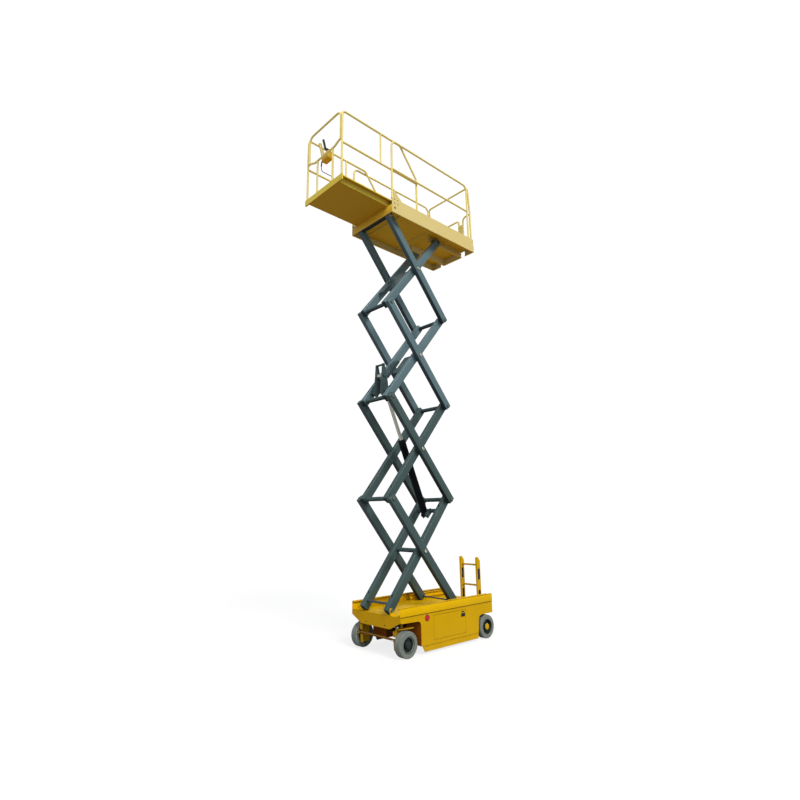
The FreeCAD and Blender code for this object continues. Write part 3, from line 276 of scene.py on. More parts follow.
    @classmethod
    def hex_bolt(cls, name: str, radius: float, height: float) -> Piece:
        """A hexagon head on its washer, drawn along +Z.

        Args:
            name: the piece's name.
            radius: half the width of the head over its corners.
            height: the head's height.

        Returns:
            The new piece.
        """
        head = cls.turned(name, [(radius * 0.92, 0), (radius, height * 0.12), (radius, height * 0.82),
                                 (radius * 0.8, height), (radius * 0.3, height)], segments=6)
        washer = cls.turned(name + "_washer", [(radius * 1.3, -height * 0.3), (radius * 1.32, -height * 0.1),
                                               (radius * 1.25, height * 0.02), (radius * 0.5, height * 0.04)], 20)
        return cls.joined(name, [head, washer])

    @classmethod
    def moved(cls, piece: Piece, matrix: Matrix) -> Piece:
        """Place a piece and apply its place to its mesh."""
        cls.only(piece)
        piece.matrix_world = matrix
        bpy.ops.object.transform_apply(location=True, rotation=True, scale=True)
        return piece

    @classmethod
    def joined(cls, name: str, pieces: Sequence[Piece]) -> Piece:
        """Join pieces into the first of them and name it."""
        cls.only(pieces[0])
        for piece in pieces:
            piece.select_set(True)
        bpy.ops.object.join()
        whole = bpy.context.object
        whole.name = name
        return whole

    @classmethod
    def copies(cls, name: str, model: Piece, places: Iterable[Matrix]) -> Piece:
        """Copy a piece to several places and join the copies.

        Args:
            name: the joined piece's name.
            model: the piece that is copied; it is removed afterwards.
            places: one matrix for each copy.

        Returns:
            The joined piece.
        """
        made = []
        for matrix in places:
            twin = model.copy()
            twin.data = model.data.copy()
            bpy.context.scene.collection.objects.link(twin)
            made.append(cls.moved(twin, matrix))
        bpy.data.objects.remove(model)
        return cls.joined(name, made)


class Group:
    """Builds one shader node group with named sockets."""

    def __init__(self, name: str, inputs: dict[str, float | Colour], outputs: dict[str, str]) -> None:
        """Open a new group.

        Args:
            name: the group's name.
            inputs: socket names with their values; a triple makes a colour socket.
            outputs: socket names with their socket types.
        """
        self.tree = bpy.data.node_groups.new(name, "ShaderNodeTree")
        for key, value in inputs.items():
            kind = COLOUR_SOCKET if isinstance(value, tuple) else VALUE_SOCKET
            socket = self.tree.interface.new_socket(key, in_out="INPUT", socket_type=kind)
            socket.default_value = (*value, 1) if isinstance(value, tuple) else value
        for key, kind in outputs.items():
            self.tree.interface.new_socket(key, in_out="OUTPUT", socket_type=kind)
        self.source = self.tree.nodes.new("NodeGroupInput")
        self.sink = self.tree.nodes.new("NodeGroupOutput")
        self.coords = self.tree.nodes.new("ShaderNodeTexCoord")

    def add(self, kind: str, **settings: object) -> Node:
        """A node in the group with its settings."""
        return add_node(self.tree, kind, **settings)

    def link(self, start: Socket, end: Socket) -> None:
        """A link between two sockets."""
        self.tree.links.new(start, end)

    def take(self, key: str) -> Socket:
        """An input of the group, as its nodes see it."""
        return self.source.outputs[key]

    def give(self, key: str, value: Socket) -> None:
        """Send a value to an output of the group."""
        self.link(value, self.sink.inputs[key])

    def math(self, operation: str, first: object, second: object = 0.0, clamp: bool = False) -> Socket:
        """A maths node on sockets or numbers."""
        return add_math(self.tree, operation, first, second, clamp)

    def times(self, first: object, second: object, clamp: bool = False) -> Socket:
        """One value times another."""
        return self.math("MULTIPLY", first, second, clamp)

    def above(self, value: Socket, level: float, gain: float) -> Socket:
        """How far a value is above a level, times a gain, kept between 0 and 1."""
        return self.times(self.math("SUBTRACT", value, level), gain, True)

    def noise(self, **settings: object) -> Node:
        """A noise texture on object coordinates."""
        node = self.add("ShaderNodeTexNoise", **settings)
        self.link(self.coords.outputs["Object"], node.inputs["Vector"])
        return node

    def split(self, vector: Socket) -> Sequence[Socket]:
        """The X, Y and Z of a vector."""
        node = self.add("ShaderNodeSeparateXYZ")
        self.link(vector, node.inputs[0])
        return node.outputs

    def spot(self) -> Sequence[Socket]:
        """The X, Y and Z of the object coordinates."""
        return self.split(self.coords.outputs["Object"])

    def facing(self) -> Sequence[Socket]:
        """The X, Y and Z of the surface's normal."""
        return self.split(self.add("ShaderNodeNewGeometry").outputs["Normal"])


def add_node(tree: Tree, kind: str, **settings: object) -> Node:
    """Add a node to a tree.

    Args:
        tree: the tree.
        kind: the node's type.
        settings: input values, where the name is an input's in small letters, or else properties.

    Returns:
        The new node.
    """
    node = tree.nodes.new(kind)
    for key, value in settings.items():
        socket = node.inputs.get(key.replace("_", " ").title())
        if socket:
            socket.default_value = value
        else:
            setattr(node, key, value)
    return node


def add_math(tree: Tree, operation: str, first: object, second: object = 0.0,
             clamp: bool = False) -> Socket:
    """Add a maths node.

    Args:
        tree: the tree.
        operation: Blender's name of the operation.
        first: a socket or a number.
        second: a socket or a number.
        clamp: keep the result between 0 and 1.

    Returns:
        The node's result.
    """
    node = tree.nodes.new("ShaderNodeMath")
    node.operation = operation
    node.use_clamp = clamp
    for socket, value in zip(node.inputs, (first, second)):
        if isinstance(value, Socket):
            tree.links.new(value, socket)
        else:
            socket.default_value = value
    return node.outputs[0]


def add_mix(tree: Tree, factor: object, first: object, second: object) -> Socket:
    """Mix two colours by a factor; each is a socket or a value."""
    node = tree.nodes.new("ShaderNodeMix")
    node.data_type = "RGBA"
    for socket, value in ((node.inputs[0], factor), (node.inputs[6], first), (node.inputs[7], second)):
        if isinstance(value, Socket):
            tree.links.new(value, socket)
        else:
            socket.default_value = (*value, 1) if isinstance(value, tuple) else value
    return node.outputs[2]


class Effects:
    """The shared shader groups: mottling, edge wear, painted shade on down-facing and inner faces, dust and grain."""

    def __init__(self) -> None:
        """Build each group once."""
        self.mottle = self._mottle()
        self.wear = self._wear()
        self.under = self._under()
        self.dust = self._dust()
        self.grain = self._grain()
        self.tread = self._tread()

    @staticmethod
    def _mottle() -> Tree:
        """Broad and fine drift between a colour and its shade."""
        fine_ratio, broad_share, fine_share, level, gain = 14.0, 0.7, 0.3, 0.38, 4.0
        group = Group("mottle", {"Colour": (0.5, 0.5, 0.5), "Shade": (0.3, 0.3, 0.3), "Scale": 4.0, "Contrast": 0.5},
                      {"Colour": COLOUR_SOCKET, "Drift": VALUE_SOCKET})
        broad = group.noise(detail=4.0, roughness=0.6)
        fine = group.noise(detail=3.0, roughness=0.7)
        group.link(group.take("Scale"), broad.inputs["Scale"])
        group.link(group.times(group.take("Scale"), fine_ratio), fine.inputs["Scale"])
        both = group.math("ADD", group.times(broad.outputs[0], broad_share), group.times(fine.outputs[0], fine_share))
        centred = group.math("SUBTRACT", both, level)
        drift = group.times(centred, group.times(group.take("Contrast"), gain), True)
        group.give("Colour", add_mix(group.tree, drift, group.take("Colour"), group.take("Shade")))
        group.give("Drift", drift)
        return group.tree

    @staticmethod
    def _wear() -> Tree:
        """A broken mask along edges, with the rounded normal that catches the light there."""
        flat, edge_gain, chip_level, chip_gain = 0.97, 6.0, 0.47, 9.0
        group = Group("edge_wear", {"Width": 0.004, "Amount": 0.5}, {"Mask": VALUE_SOCKET,
                                                                     "Normal": "NodeSocketVector"})
        bevel = group.add("ShaderNodeBevel", samples=4)
        group.link(group.take("Width"), bevel.inputs["Radius"])
        dot = group.add("ShaderNodeVectorMath", operation="DOT_PRODUCT")
        group.link(bevel.outputs[0], dot.inputs[0])
        group.link(group.add("ShaderNodeNewGeometry").outputs["Normal"], dot.inputs[1])
        edge = group.times(group.math("SUBTRACT", flat, dot.outputs["Value"]), edge_gain, True)
        chips = group.noise(scale=38.0, detail=5.0, roughness=0.7)
        broken = group.above(chips.outputs[0], chip_level, chip_gain)
        group.give("Mask", group.times(group.times(edge, broken), group.take("Amount"), True))
        group.give("Normal", bevel.outputs[0])
        return group.tree

    @staticmethod
    def _under() -> Tree:
        """Painted shade: a darker colour on faces that look down, and inside the lower body when it has a half width.
        """
        down_level, down_gain, outward_limit = -0.35, 2.6, 0.2
        group = Group("undercoat", {"Colour": (0.5, 0.5, 0.5), "Undercoat": (0.2, 0.1, 0.02), "Amount": 1.0,
                                    "Half Width": 0.0, "Ceiling": 0.5},
                      {"Colour": COLOUR_SOCKET, "Mask": VALUE_SOCKET})
        normal = group.facing()
        spot = group.spot()
        down = group.times(group.math("SUBTRACT", down_level, normal[2]), down_gain, True)
        within = group.math("LESS_THAN", group.math("ABSOLUTE", spot[1]), group.take("Half Width"))
        below = group.math("LESS_THAN", spot[2], group.take("Ceiling"))
        inward = group.math("LESS_THAN", group.times(normal[1], spot[1]), outward_limit)
        inside = group.times(group.times(within, below), inward)
        mask = group.times(group.math("MAXIMUM", down, inside), group.take("Amount"), True)
        group.give("Colour", add_mix(group.tree, mask, group.take("Colour"), group.take("Undercoat")))
        group.give("Mask", mask)
        return group.tree

    @staticmethod
    def _dust() -> Tree:
        """Pale dust that settles on upward faces and rises from the ground."""
        up_level, up_gain, cloud_gain = 0.5, 0.9, 1.3
        group = Group("dust", {"Colour": (0.5, 0.5, 0.5), "Dust": (0.42, 0.38, 0.31), "Low": 0.0, "High": 0.45,
                               "Amount": 0.4}, {"Colour": COLOUR_SOCKET, "Mask": VALUE_SOCKET})
        fade = group.add("ShaderNodeMapRange", to_min=1.0, to_max=0.0)
        for value, key in ((group.spot()[2], "Value"), (group.take("Low"), "From Min"),
                           (group.take("High"), "From Max")):
            group.link(value, fade.inputs[key])
        up = group.above(group.facing()[2], up_level, up_gain)
        clouds = group.noise(scale=9.0, detail=5.0, roughness=0.75)
        where = group.times(group.math("ADD", fade.outputs[0], up), group.times(clouds.outputs[0], cloud_gain))
        mask = group.times(where, group.take("Amount"), True)
        group.give("Colour", add_mix(group.tree, mask, group.take("Colour"), group.take("Dust")))
        group.give("Mask", mask)
        return group.tree

    @staticmethod
    def _grain() -> Tree:
        """A fine height for orange peel, castings and moulded rubber."""
        fine_share = 0.35
        group = Group("grain", {"Scale": 300.0, "Coarse": 20.0}, {"Height": VALUE_SOCKET})
        fine = group.noise(detail=2.0, roughness=0.5)
        coarse = group.noise(detail=2.0, roughness=0.5)
        group.link(group.take("Scale"), fine.inputs["Scale"])
        group.link(group.take("Coarse"), coarse.inputs["Scale"])
        group.give("Height", group.math("ADD", group.times(fine.outputs[0], fine_share), coarse.outputs[0]))
        return group.tree

    @staticmethod
    def _tread() -> Tree:
        """Raised lozenges, turned by turns, on faces that look up, as on a walking deck."""
        length_power, width_power, up_level, up_gain = 2.0, 10.0, 0.8, 8.0
        group = Group("tread_plate", {"Pitch": 34.0}, {"Height": VALUE_SOCKET})
        spot = group.spot()
        across, along = (group.times(spot[axis], group.take("Pitch")) for axis in (0, 1))
        cells = []
        for first, second in ((across, along), (along, across)):
            wave = group.math("ABSOLUTE", group.math("SINE", group.times(first, math.pi)))
            thin = group.math("ABSOLUTE", group.math("COSINE", group.times(second, math.pi)))
            cells.append(group.times(group.math("POWER", wave, length_power),
                                     group.math("POWER", thin, width_power)))
        up = group.above(group.facing()[2], up_level, up_gain)
        group.give("Height", group.times(group.math("MAXIMUM", *cells), up))
        return group.tree


COAT_ROUGHNESS = 0.12
# Roughness raised where the painted shade lies.
PAINTED_SHADE_ROUGHNESS = 0.7
DUST_ROUGHNESS = 0.3
TREAD_HEIGHT = 6.0
BUMP_DISTANCE = 0.002


@dataclass(frozen=True)
class Finish:
    """A surface finish; its material is built once from the shared effects."""

    name: str
    slot: str
    base: Colour
    shade: Colour
    bare: Colour = (0.30, 0.29, 0.27)
    # Colour of the painted shade on faces that look down, and inside the lower body within inner_half.
    undercoat: Colour | None = None
    inner_half: float = 0.0
    specular: float = 0.15
    roughness: tuple[float, float] = (0.35, 0.5)
    metallic: float = 0.0
    coat: float = 0.0
    wear: float = 0.5
    edge: float = 0.004
    dust: float = 0.0
    dust_top: float = 0.45
    mottle: float = 2.2
    contrast: float = 0.5
    grain: float = 320.0
    coarse: float = 22.0
    bump: float = 0.08
    tread: bool = False

    def material(self, effects: Effects) -> bpy.types.Material:
        """The finish's material.

        Args:
            effects: the shared shader groups.

        Returns:
            The material, new or as built before.
        """
        known = bpy.data.materials.get(self.name)
        if known:
            return known
        material = bpy.data.materials.new(self.name)
        material.use_nodes = True
        tree = material.node_tree
        shader = tree.nodes["Principled BSDF"]
        for key, value in (("Metallic", self.metallic), ("Coat Weight", self.coat), ("Coat Roughness", COAT_ROUGHNESS),
                           ("Specular IOR Level", self.specular)):
            shader.inputs[key].default_value = value

        def effect(group: Tree, **values: object) -> Node:
            """One shared group with its values and links."""
            node = tree.nodes.new("ShaderNodeGroup")
            node.node_tree = group
            for key, value in values.items():
                socket = node.inputs[key]
                if isinstance(value, Socket):
                    tree.links.new(value, socket)
                else:
                    socket.default_value = (*value, 1) if isinstance(value, tuple) else value
            return node

        mottle = effect(effects.mottle, Colour=self.base, Shade=self.shade, Scale=self.mottle, Contrast=self.contrast)
        colour = mottle.outputs["Colour"]
        rough = add_node(tree, "ShaderNodeMapRange", to_min=self.roughness[0], to_max=self.roughness[1])
        tree.links.new(mottle.outputs["Drift"], rough.inputs["Value"])
        roughness = rough.outputs[0]
        # Painted shade: darkens faces that look down and the inner faces of the lower body.
        if self.undercoat:
            under = effect(effects.under, **{"Colour": colour, "Undercoat": self.undercoat,
                                             "Half Width": self.inner_half})
            colour = under.outputs["Colour"]
            roughness = add_math(tree, "MAXIMUM", roughness, add_math(tree, "MULTIPLY", under.outputs["Mask"],
                                                                           PAINTED_SHADE_ROUGHNESS))
        worn = effect(effects.wear, Width=self.edge, Amount=self.wear)
        colour = add_mix(tree, worn.outputs["Mask"], colour, self.bare)
        if self.dust:
            dust = effect(effects.dust, Colour=colour, Amount=self.dust, High=self.dust_top)
            colour = dust.outputs["Colour"]
            roughness = add_math(tree, "ADD", roughness, add_math(tree, "MULTIPLY", dust.outputs["Mask"],
                                                                        DUST_ROUGHNESS), True)
        grain = effect(effects.grain, Scale=self.grain, Coarse=self.coarse)
        height = grain.outputs["Height"]
        if self.tread:
            tread = effect(effects.tread)
            height = add_math(tree, "ADD", height, add_math(tree, "MULTIPLY", tread.outputs["Height"], TREAD_HEIGHT))
        bump = add_node(tree, "ShaderNodeBump", strength=self.bump, distance=BUMP_DISTANCE)
        tree.links.new(height, bump.inputs["Height"])
        tree.links.new(worn.outputs["Normal"], bump.inputs["Normal"])
        tree.links.new(colour, shader.inputs["Base Color"])
        tree.links.new(roughness, shader.inputs["Roughness"])
        tree.links.new(bump.outputs[0], shader.inputs["Normal"])
        return material


# The underside colour in the finishes below is painted shade on faces that look down; CHASSIS also paints shade inside
# the side boxes within inner_half.
CHASSIS = Finish("chassis_enamel", "chassis_yellow", (0.585, 0.340, 0.0015), (0.50, 0.280, 0.0015),
                 (0.36, 0.25, 0.06), undercoat=(0.25, 0.066, 0.002), inner_half=0.5625, specular=0.06,
                 roughness=(0.34, 0.46), coat=0.0, wear=0.35, dust=0.02)
# A lighter copy of the chassis enamel for the tray: painted light on the upper walls and flanges.
TRAY = Finish("tray_enamel", "chassis_yellow", (0.71, 0.420, 0.0015), (0.62, 0.352, 0.0015), (0.36, 0.25, 0.06),
              undercoat=(0.19, 0.062, 0.003), specular=0.06, roughness=(0.34, 0.46), coat=0.0, wear=0.3)
# A darker copy of the chassis enamel for the front plate: painted shade on the face turned away from the key light.
FRONT = Finish("front_enamel", "chassis_yellow", (0.53, 0.285, 0.002), (0.46, 0.240, 0.002), (0.34, 0.23, 0.03),
               undercoat=(0.135, 0.036, 0.002), specular=0.06, roughness=(0.34, 0.46), coat=0.0, wear=0.35,
               dust=0.01)
# Dark brown in place of the chassis yellow for the spine, axles, tie rod and crease strip: painted shade under the
# body.
RUNNING_GEAR = Finish("running_gear_enamel", "chassis_yellow", (0.20, 0.090, 0.006), (0.12, 0.045, 0.004),
                      (0.30, 0.20, 0.09), undercoat=(0.035, 0.014, 0.003), roughness=(0.45, 0.65), mottle=6.0,
                      contrast=0.8, dust=0.05)
# A darker copy of the chassis enamel for the knuckles: painted shade in the wheel arches.
KNUCKLES = Finish("knuckle_enamel", "chassis_yellow", (0.50, 0.270, 0.004), (0.36, 0.175, 0.004), (0.36, 0.25, 0.08),
                  undercoat=(0.08, 0.028, 0.003), roughness=(0.4, 0.55), mottle=6.0)
PLATFORM = Finish("platform_enamel", "platform_yellow", (0.690, 0.560, 0.225), (0.640, 0.490, 0.165),
                  (0.62, 0.52, 0.26), undercoat=(0.66, 0.345, 0.012), roughness=(0.4, 0.5), mottle=1.4, wear=0.04,
                  tread=True)
RAILS = Finish("rail_enamel", "platform_yellow", (0.80, 0.660, 0.230), (0.74, 0.570, 0.160), (0.6, 0.52, 0.28),
               roughness=(0.36, 0.46), coat=0.08, mottle=3.0, wear=0.2, edge=0.002)
GOLDEN = Finish("golden_enamel", "platform_yellow", (0.66, 0.400, 0.030), (0.58, 0.330, 0.020), (0.6, 0.45, 0.2),
                undercoat=(0.62, 0.330, 0.008), roughness=(0.4, 0.5), mottle=3.0, wear=0.2, edge=0.003)
DECKING = Finish("deck_undercoat", "platform_yellow", (0.720, 0.560, 0.075), (0.66, 0.480, 0.050), (0.6, 0.5, 0.2),
                 undercoat=(0.50, 0.255, 0.008), roughness=(0.4, 0.55), mottle=1.6, contrast=0.7, wear=0.06,
                 tread=True)
# Lit and shaded copies of one arm enamel: the two lower stages are darker as painted shade.
LOW_ARMS = Finish("arm_enamel_low", "arm_paint", (0.049, 0.084, 0.081), (0.034, 0.062, 0.061), (0.20, 0.27, 0.26),
                  undercoat=(0.008, 0.014, 0.015), specular=0.3, roughness=(0.32, 0.46), coat=0.04, mottle=1.8,
                  contrast=0.6, wear=0.4, edge=0.007)
HIGH_ARMS = Finish("arm_enamel_high", "arm_paint", (0.108, 0.172, 0.190), (0.080, 0.138, 0.155), (0.26, 0.33, 0.34),
                   undercoat=(0.010, 0.018, 0.022), specular=0.3, roughness=(0.32, 0.46), coat=0.04, mottle=1.8,
                   contrast=0.6, wear=0.4, edge=0.007)
SHAFTS = Finish("shaft_enamel", "arm_paint", (0.046, 0.078, 0.080), (0.026, 0.046, 0.048), (0.24, 0.29, 0.28),
                undercoat=(0.008, 0.013, 0.015), specular=0.3, roughness=(0.36, 0.52), mottle=5.0, wear=0.5,
                edge=0.003)
ZINC = Finish("zinc_plate", "arm_paint", (0.74, 0.71, 0.56), (0.60, 0.57, 0.42), (0.8, 0.78, 0.7), metallic=0.75,
              specular=0.5, roughness=(0.25, 0.42), mottle=30.0, wear=0.3, edge=0.0015, grain=900.0, bump=0.05)
DULL_ZINC = Finish("dull_zinc", "arm_paint", (0.16, 0.20, 0.19), (0.09, 0.12, 0.12), (0.5, 0.5, 0.45), metallic=0.4,
                   specular=0.4, roughness=(0.35, 0.5), mottle=30.0, wear=0.5, edge=0.002, grain=900.0, bump=0.05)
CHROME = Finish("hard_chrome", "rod_chrome", (0.72, 0.72, 0.62), (0.62, 0.62, 0.52), (0.85, 0.85, 0.8), metallic=1.0,
                specular=0.5, roughness=(0.16, 0.28), mottle=9.0, wear=0.1, edge=0.001, grain=1400.0, bump=0.02)
BLACK = Finish("black_enamel", "black_paint", (0.0020, 0.0035, 0.0055), (0.004, 0.005, 0.008), (0.06, 0.07, 0.08),
               specular=0.1, roughness=(0.30, 0.46), mottle=5.0, wear=0.4, edge=0.003)
TYRE = Finish("non_marking_rubber", "tyre_grey", (0.185, 0.205, 0.185), (0.135, 0.150, 0.130), (0.24, 0.25, 0.22),
              specular=0.2, roughness=(0.7, 0.9), mottle=16.0, contrast=0.8, wear=0.5, edge=0.008, dust=0.12,
              dust_top=0.12, grain=700.0, coarse=90.0, bump=0.35)
RIM = Finish("rim_enamel", "rim_dark", (0.014, 0.022, 0.020), (0.028, 0.038, 0.034), (0.13, 0.15, 0.14),
             specular=0.3, roughness=(0.34, 0.5), mottle=12.0, wear=0.4, edge=0.003)
GROOVE = Finish("bead_rubber", "rim_dark", (0.010, 0.016, 0.014), (0.018, 0.024, 0.022), (0.04, 0.05, 0.05),
                roughness=(0.6, 0.8), mottle=20.0, wear=0.1, grain=700.0, bump=0.2)
LIGHT_RING = Finish("rim_edge_steel", "rim_dark", (0.40, 0.44, 0.42), (0.30, 0.33, 0.32), (0.6, 0.62, 0.6),
                    metallic=0.6, specular=0.5, roughness=(0.35, 0.5), mottle=22.0, wear=0.3, edge=0.001)
PLASTIC = Finish("moulded_nylon", "black_plastic", (0.010, 0.011, 0.016), (0.020, 0.021, 0.028), (0.06, 0.06, 0.07),
                 specular=0.3, roughness=(0.45, 0.6), mottle=18.0, wear=0.2, edge=0.002, grain=1100.0, bump=0.18)
BATTERY = Finish("battery_polymer", "battery_case", (0.10, 0.10, 0.11), (0.075, 0.075, 0.085), (0.2, 0.2, 0.2),
                 roughness=(0.5, 0.65), mottle=8.0, wear=0.3, grain=900.0, bump=0.2, dust=0.2, dust_top=0.8)
POWER = Finish("power_casting", "power_grey", (0.20, 0.21, 0.22), (0.14, 0.15, 0.16), (0.36, 0.36, 0.36),
               roughness=(0.5, 0.7), metallic=0.2, mottle=9.0, wear=0.5, grain=500.0, coarse=120.0, bump=0.5)
BUTTON = Finish("stop_red", "button_red", (0.50, 0.010, 0.012), (0.36, 0.005, 0.008), (0.65, 0.10, 0.08),
                specular=0.4, roughness=(0.22, 0.36), coat=0.3, mottle=30.0, wear=0.3, edge=0.002)
SHEATH = Finish("cable_sheath", "cable_rubber", (0.014, 0.016, 0.028), (0.026, 0.028, 0.040), (0.05, 0.05, 0.06),
                specular=0.2, roughness=(0.55, 0.72), mottle=26.0, wear=0.0, grain=1300.0, bump=0.2)


class Dresser:
    """Gives nodes and pieces their finish, body and material slot."""

    def __init__(self) -> None:
        """Build the shared effects."""
        self.effects = Effects()

    def node(self, name: str, finish: Finish) -> None:
        """Put a finish on every slot of a CAD node."""
        node = frame["nodes"][name]
        material = finish.material(self.effects)
        if not node.material_slots:
            node.data.materials.append(material)
        for slot in node.material_slots:
            slot.material = material

    def nodes(self, names: Iterable[str], finish: Finish) -> None:
        """Put one finish on several CAD nodes."""
        for name in names:
            self.node(name, finish)

    def paint(self, piece: Piece, finish: Finish) -> Piece:
        """Give a new piece its finish."""
        piece.data.materials.clear()
        piece.data.materials.append(finish.material(self.effects))
        return piece

    def fit(self, piece: Piece, body: str, finish: Finish, *replaced: str) -> Piece:
        """Hang a finished piece on its body.

        Args:
            piece: the piece; it is painted here if its parts have no finish yet.
            body: the CAD body it rides on.
            finish: its main finish, which names the record's material slot.
            replaced: CAD nodes that it stands for.

        Returns:
            The same piece.
        """
        Bench.only()
        if not piece.data.materials:
            self.paint(piece, finish)
        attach(piece, body)
        if replaced:
            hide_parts(*replaced)
        LOG.info("piece %s on %s, %d faces", piece.name, body, len(getattr(piece.data, "polygons", ())))
        return piece


@dataclass
class Studio:
    """Camera at the photograph's viewing angle, pale floor and soft lights."""

    eye: Point = (6.3798, 6.6755, 2.1096)
    wheelbase_eye: tuple[float, float] = (6.9013, 6.6755)
    yaw: float = 0.0637
    pitch: float = 0.2337
    roll: float = -0.0092
    lens: float = 23.631
    shift: tuple[float, float] = (0.01645, -0.01454)
    floor_half: float = 400.0
    floor_glow: float = 0.8

    def camera(self) -> None:
        """Place the camera and make it the scene's."""
        heading = math.atan2(-self.wheelbase_eye[1], -self.wheelbase_eye[0]) + self.yaw
        ahead = Vector((math.cos(heading) * math.cos(self.pitch), math.sin(heading) * math.cos(self.pitch),
                        math.sin(self.pitch)))
        level = ahead.cross(Vector((0, 0, 1))).normalized()
        above = level.cross(ahead)
        right = math.cos(self.roll) * level + math.sin(self.roll) * above
        upward = -math.sin(self.roll) * level + math.cos(self.roll) * above
        data = bpy.data.cameras.new("photo_view")
        data.lens = self.lens
        data.sensor_width = 36
        data.shift_x, data.shift_y = self.shift
        data.clip_end = 2000
        camera = bpy.data.objects.new("photo_view", data)
        turned = Matrix((right, upward, -ahead)).transposed().to_4x4()
        camera.matrix_world = Matrix.Translation(Vector(self.eye)) @ turned
        bpy.context.scene.collection.objects.link(camera)
        bpy.context.scene.camera = camera

    def floor(self) -> None:
        """A wide pale floor that throws little light back under the machine."""
        Bench.only()
        bpy.ops.mesh.primitive_plane_add(size=2 * self.floor_half, location=(0, 0, -0.001))
        floor = bpy.context.object
        floor.name = "studio_floor"
        material = bpy.data.materials.new("studio_floor")
        material.use_nodes = True
        tree = material.node_tree
        tree.nodes.remove(tree.nodes["Principled BSDF"])
        seen = add_node(tree, "ShaderNodeBsdfDiffuse", color=(0.97, 0.97, 0.97, 1))
        felt = add_node(tree, "ShaderNodeBsdfDiffuse", color=(0.36, 0.36, 0.36, 1))
        glow = add_node(tree, "ShaderNodeEmission", color=(1, 1, 1, 1), strength=1.0)
        even = add_node(tree, "ShaderNodeMixShader")
        even.inputs[0].default_value = self.floor_glow
        tree.links.new(seen.outputs[0], even.inputs[1])
        tree.links.new(glow.outputs[0], even.inputs[2])
        self.for_camera(tree, felt, even, "Material Output")
        floor.data.materials.append(material)

    def world(self) -> None:
        """An even white surround."""
        world = bpy.data.worlds.new("studio_white")
        bpy.context.scene.world = world
        world.use_nodes = True
        tree = world.node_tree
        soft = tree.nodes["Background"]
        soft.inputs[0].default_value = (0.93, 0.96, 1.0, 1)
        soft.inputs[1].default_value = 0.5
        white = add_node(tree, "ShaderNodeBackground", color=(1, 1, 1, 1), strength=1.05)
        self.for_camera(tree, soft, white, "World Output")

    @staticmethod
    def for_camera(tree: Tree, others: Node, seen: Node, output: str) -> None:
        """Show one shader to the camera and another to everything else."""
        path = add_node(tree, "ShaderNodeLightPath")
        mix = add_node(tree, "ShaderNodeMixShader")
        tree.links.new(path.outputs["Is Camera Ray"], mix.inputs[0])
        tree.links.new(others.outputs[0], mix.inputs[1])
        tree.links.new(seen.outputs[0], mix.inputs[2])
        tree.links.new(mix.outputs[0], tree.nodes[output].inputs[0])

    def light(self, name: str, direction: Point, strength: float, angle: float, colour: Colour) -> None:
        """A far soft light.

        Args:
            name: the light's name.
            direction: where it stands, seen from the machine.
            strength: its power.
            angle: its spread in degrees, which softens the shadows.
            colour: its colour.
        """
        data = bpy.data.lights.new(name, "SUN")
        data.energy = strength
        data.angle = math.radians(angle)
        data.color = colour
        lamp = bpy.data.objects.new(name, data)
        lamp.rotation_mode = "QUATERNION"
        lamp.rotation_quaternion = Vector(direction).to_track_quat("Z", "Y")
        bpy.context.scene.collection.objects.link(lamp)

    def build(self) -> None:
        """Set up the whole studio."""
        self.camera()
        self.floor()
        self.world()
        self.light("key", (0.15, 0.75, 0.80), 2.6, 24, (1.0, 0.985, 0.95))
        self.light("fill", (0.95, 0.30, 0.45), 0.75, 60, (0.95, 0.98, 1.0))
        bpy.context.scene.view_settings.view_transform = "Standard"
        LOG.info("studio built")


@dataclass
class ControlCable:
    """The flexible lead from the control box down to the extension's floor."""

    x: float = 1.6815
    radius: float = 0.007
    smoothing: float = 0.975
    route: tuple[tuple[float, float], ...] = (
        (-0.176, 8.1758), (-0.176, 8.0908), (-0.114, 8.0108), (-0.026, 7.9438), (0.060, 7.8638), (0.178, 7.7678),
        (0.214, 7.6708), (0.220, 7.6008), (0.220, 7.5368))

    def build(self, dresser: Dresser) -> None:
        """Lay the lead along its route."""
        curve = bpy.data.curves.new("control_lead", "CURVE")
        curve.dimensions = "3D"
        spline = curve.splines.new("NURBS")
        spline.points.add(len(self.route) - 1)
        for control, (y, z) in zip(spline.points, self.route):
            control.co = (self.x, y, z, 1)
        spline.order_u = 3
        spline.use_endpoint_u = True
        spline.resolution_u = 12
        curve.bevel_depth = self.radius
        curve.bevel_resolution = 4
        lead = bpy.data.objects.new("control_lead", curve)
        bpy.context.scene.collection.objects.link(lead)
        dresser.fit(lead, "extension", SHEATH, "control_cable")

    def length(self) -> float:
        """The lead's real length, read off its own smooth line."""
        total = 0.0
        points = [Vector((y, z)) for y, z in self.route]
        for before, corner, after in zip(points, points[1:], points[2:]):
            total += (corner - before).length / 2 + (after - corner).length / 2
        ends = (points[1] - points[0]).length / 2 + (points[-1] - points[-2]).length / 2
        return round((total + ends) * self.smoothing, 3)


@dataclass(frozen=True)
class Hub:
    """What shows in the middle of a front or a rear wheel."""

    cap: Profile
    cap_sides: int
    cap_finish: Finish
    edge_finish: Finish
    nuts: int
    nut_radius: float
    nut_height: float
    nut_circle: float
    nut_depth: float = 0.0145


FRONT_HUB = Hub(((0.044, -0.009), (0.0445, -0.005), (0.040, -0.0015), (0.026, 0), (0.012, 0)), 32, RIM, LIGHT_RING,
                nuts=6, nut_radius=0.0085, nut_height=0.007, nut_circle=0.078)
REAR_HUB = Hub(((0.050, -0.012), (0.051, -0.006), (0.047, -0.002), (0.030, 0), (0.010, 0)), 36, CHASSIS, RIM,
               nuts=9, nut_radius=0.0095, nut_height=0.008, nut_circle=0.079)


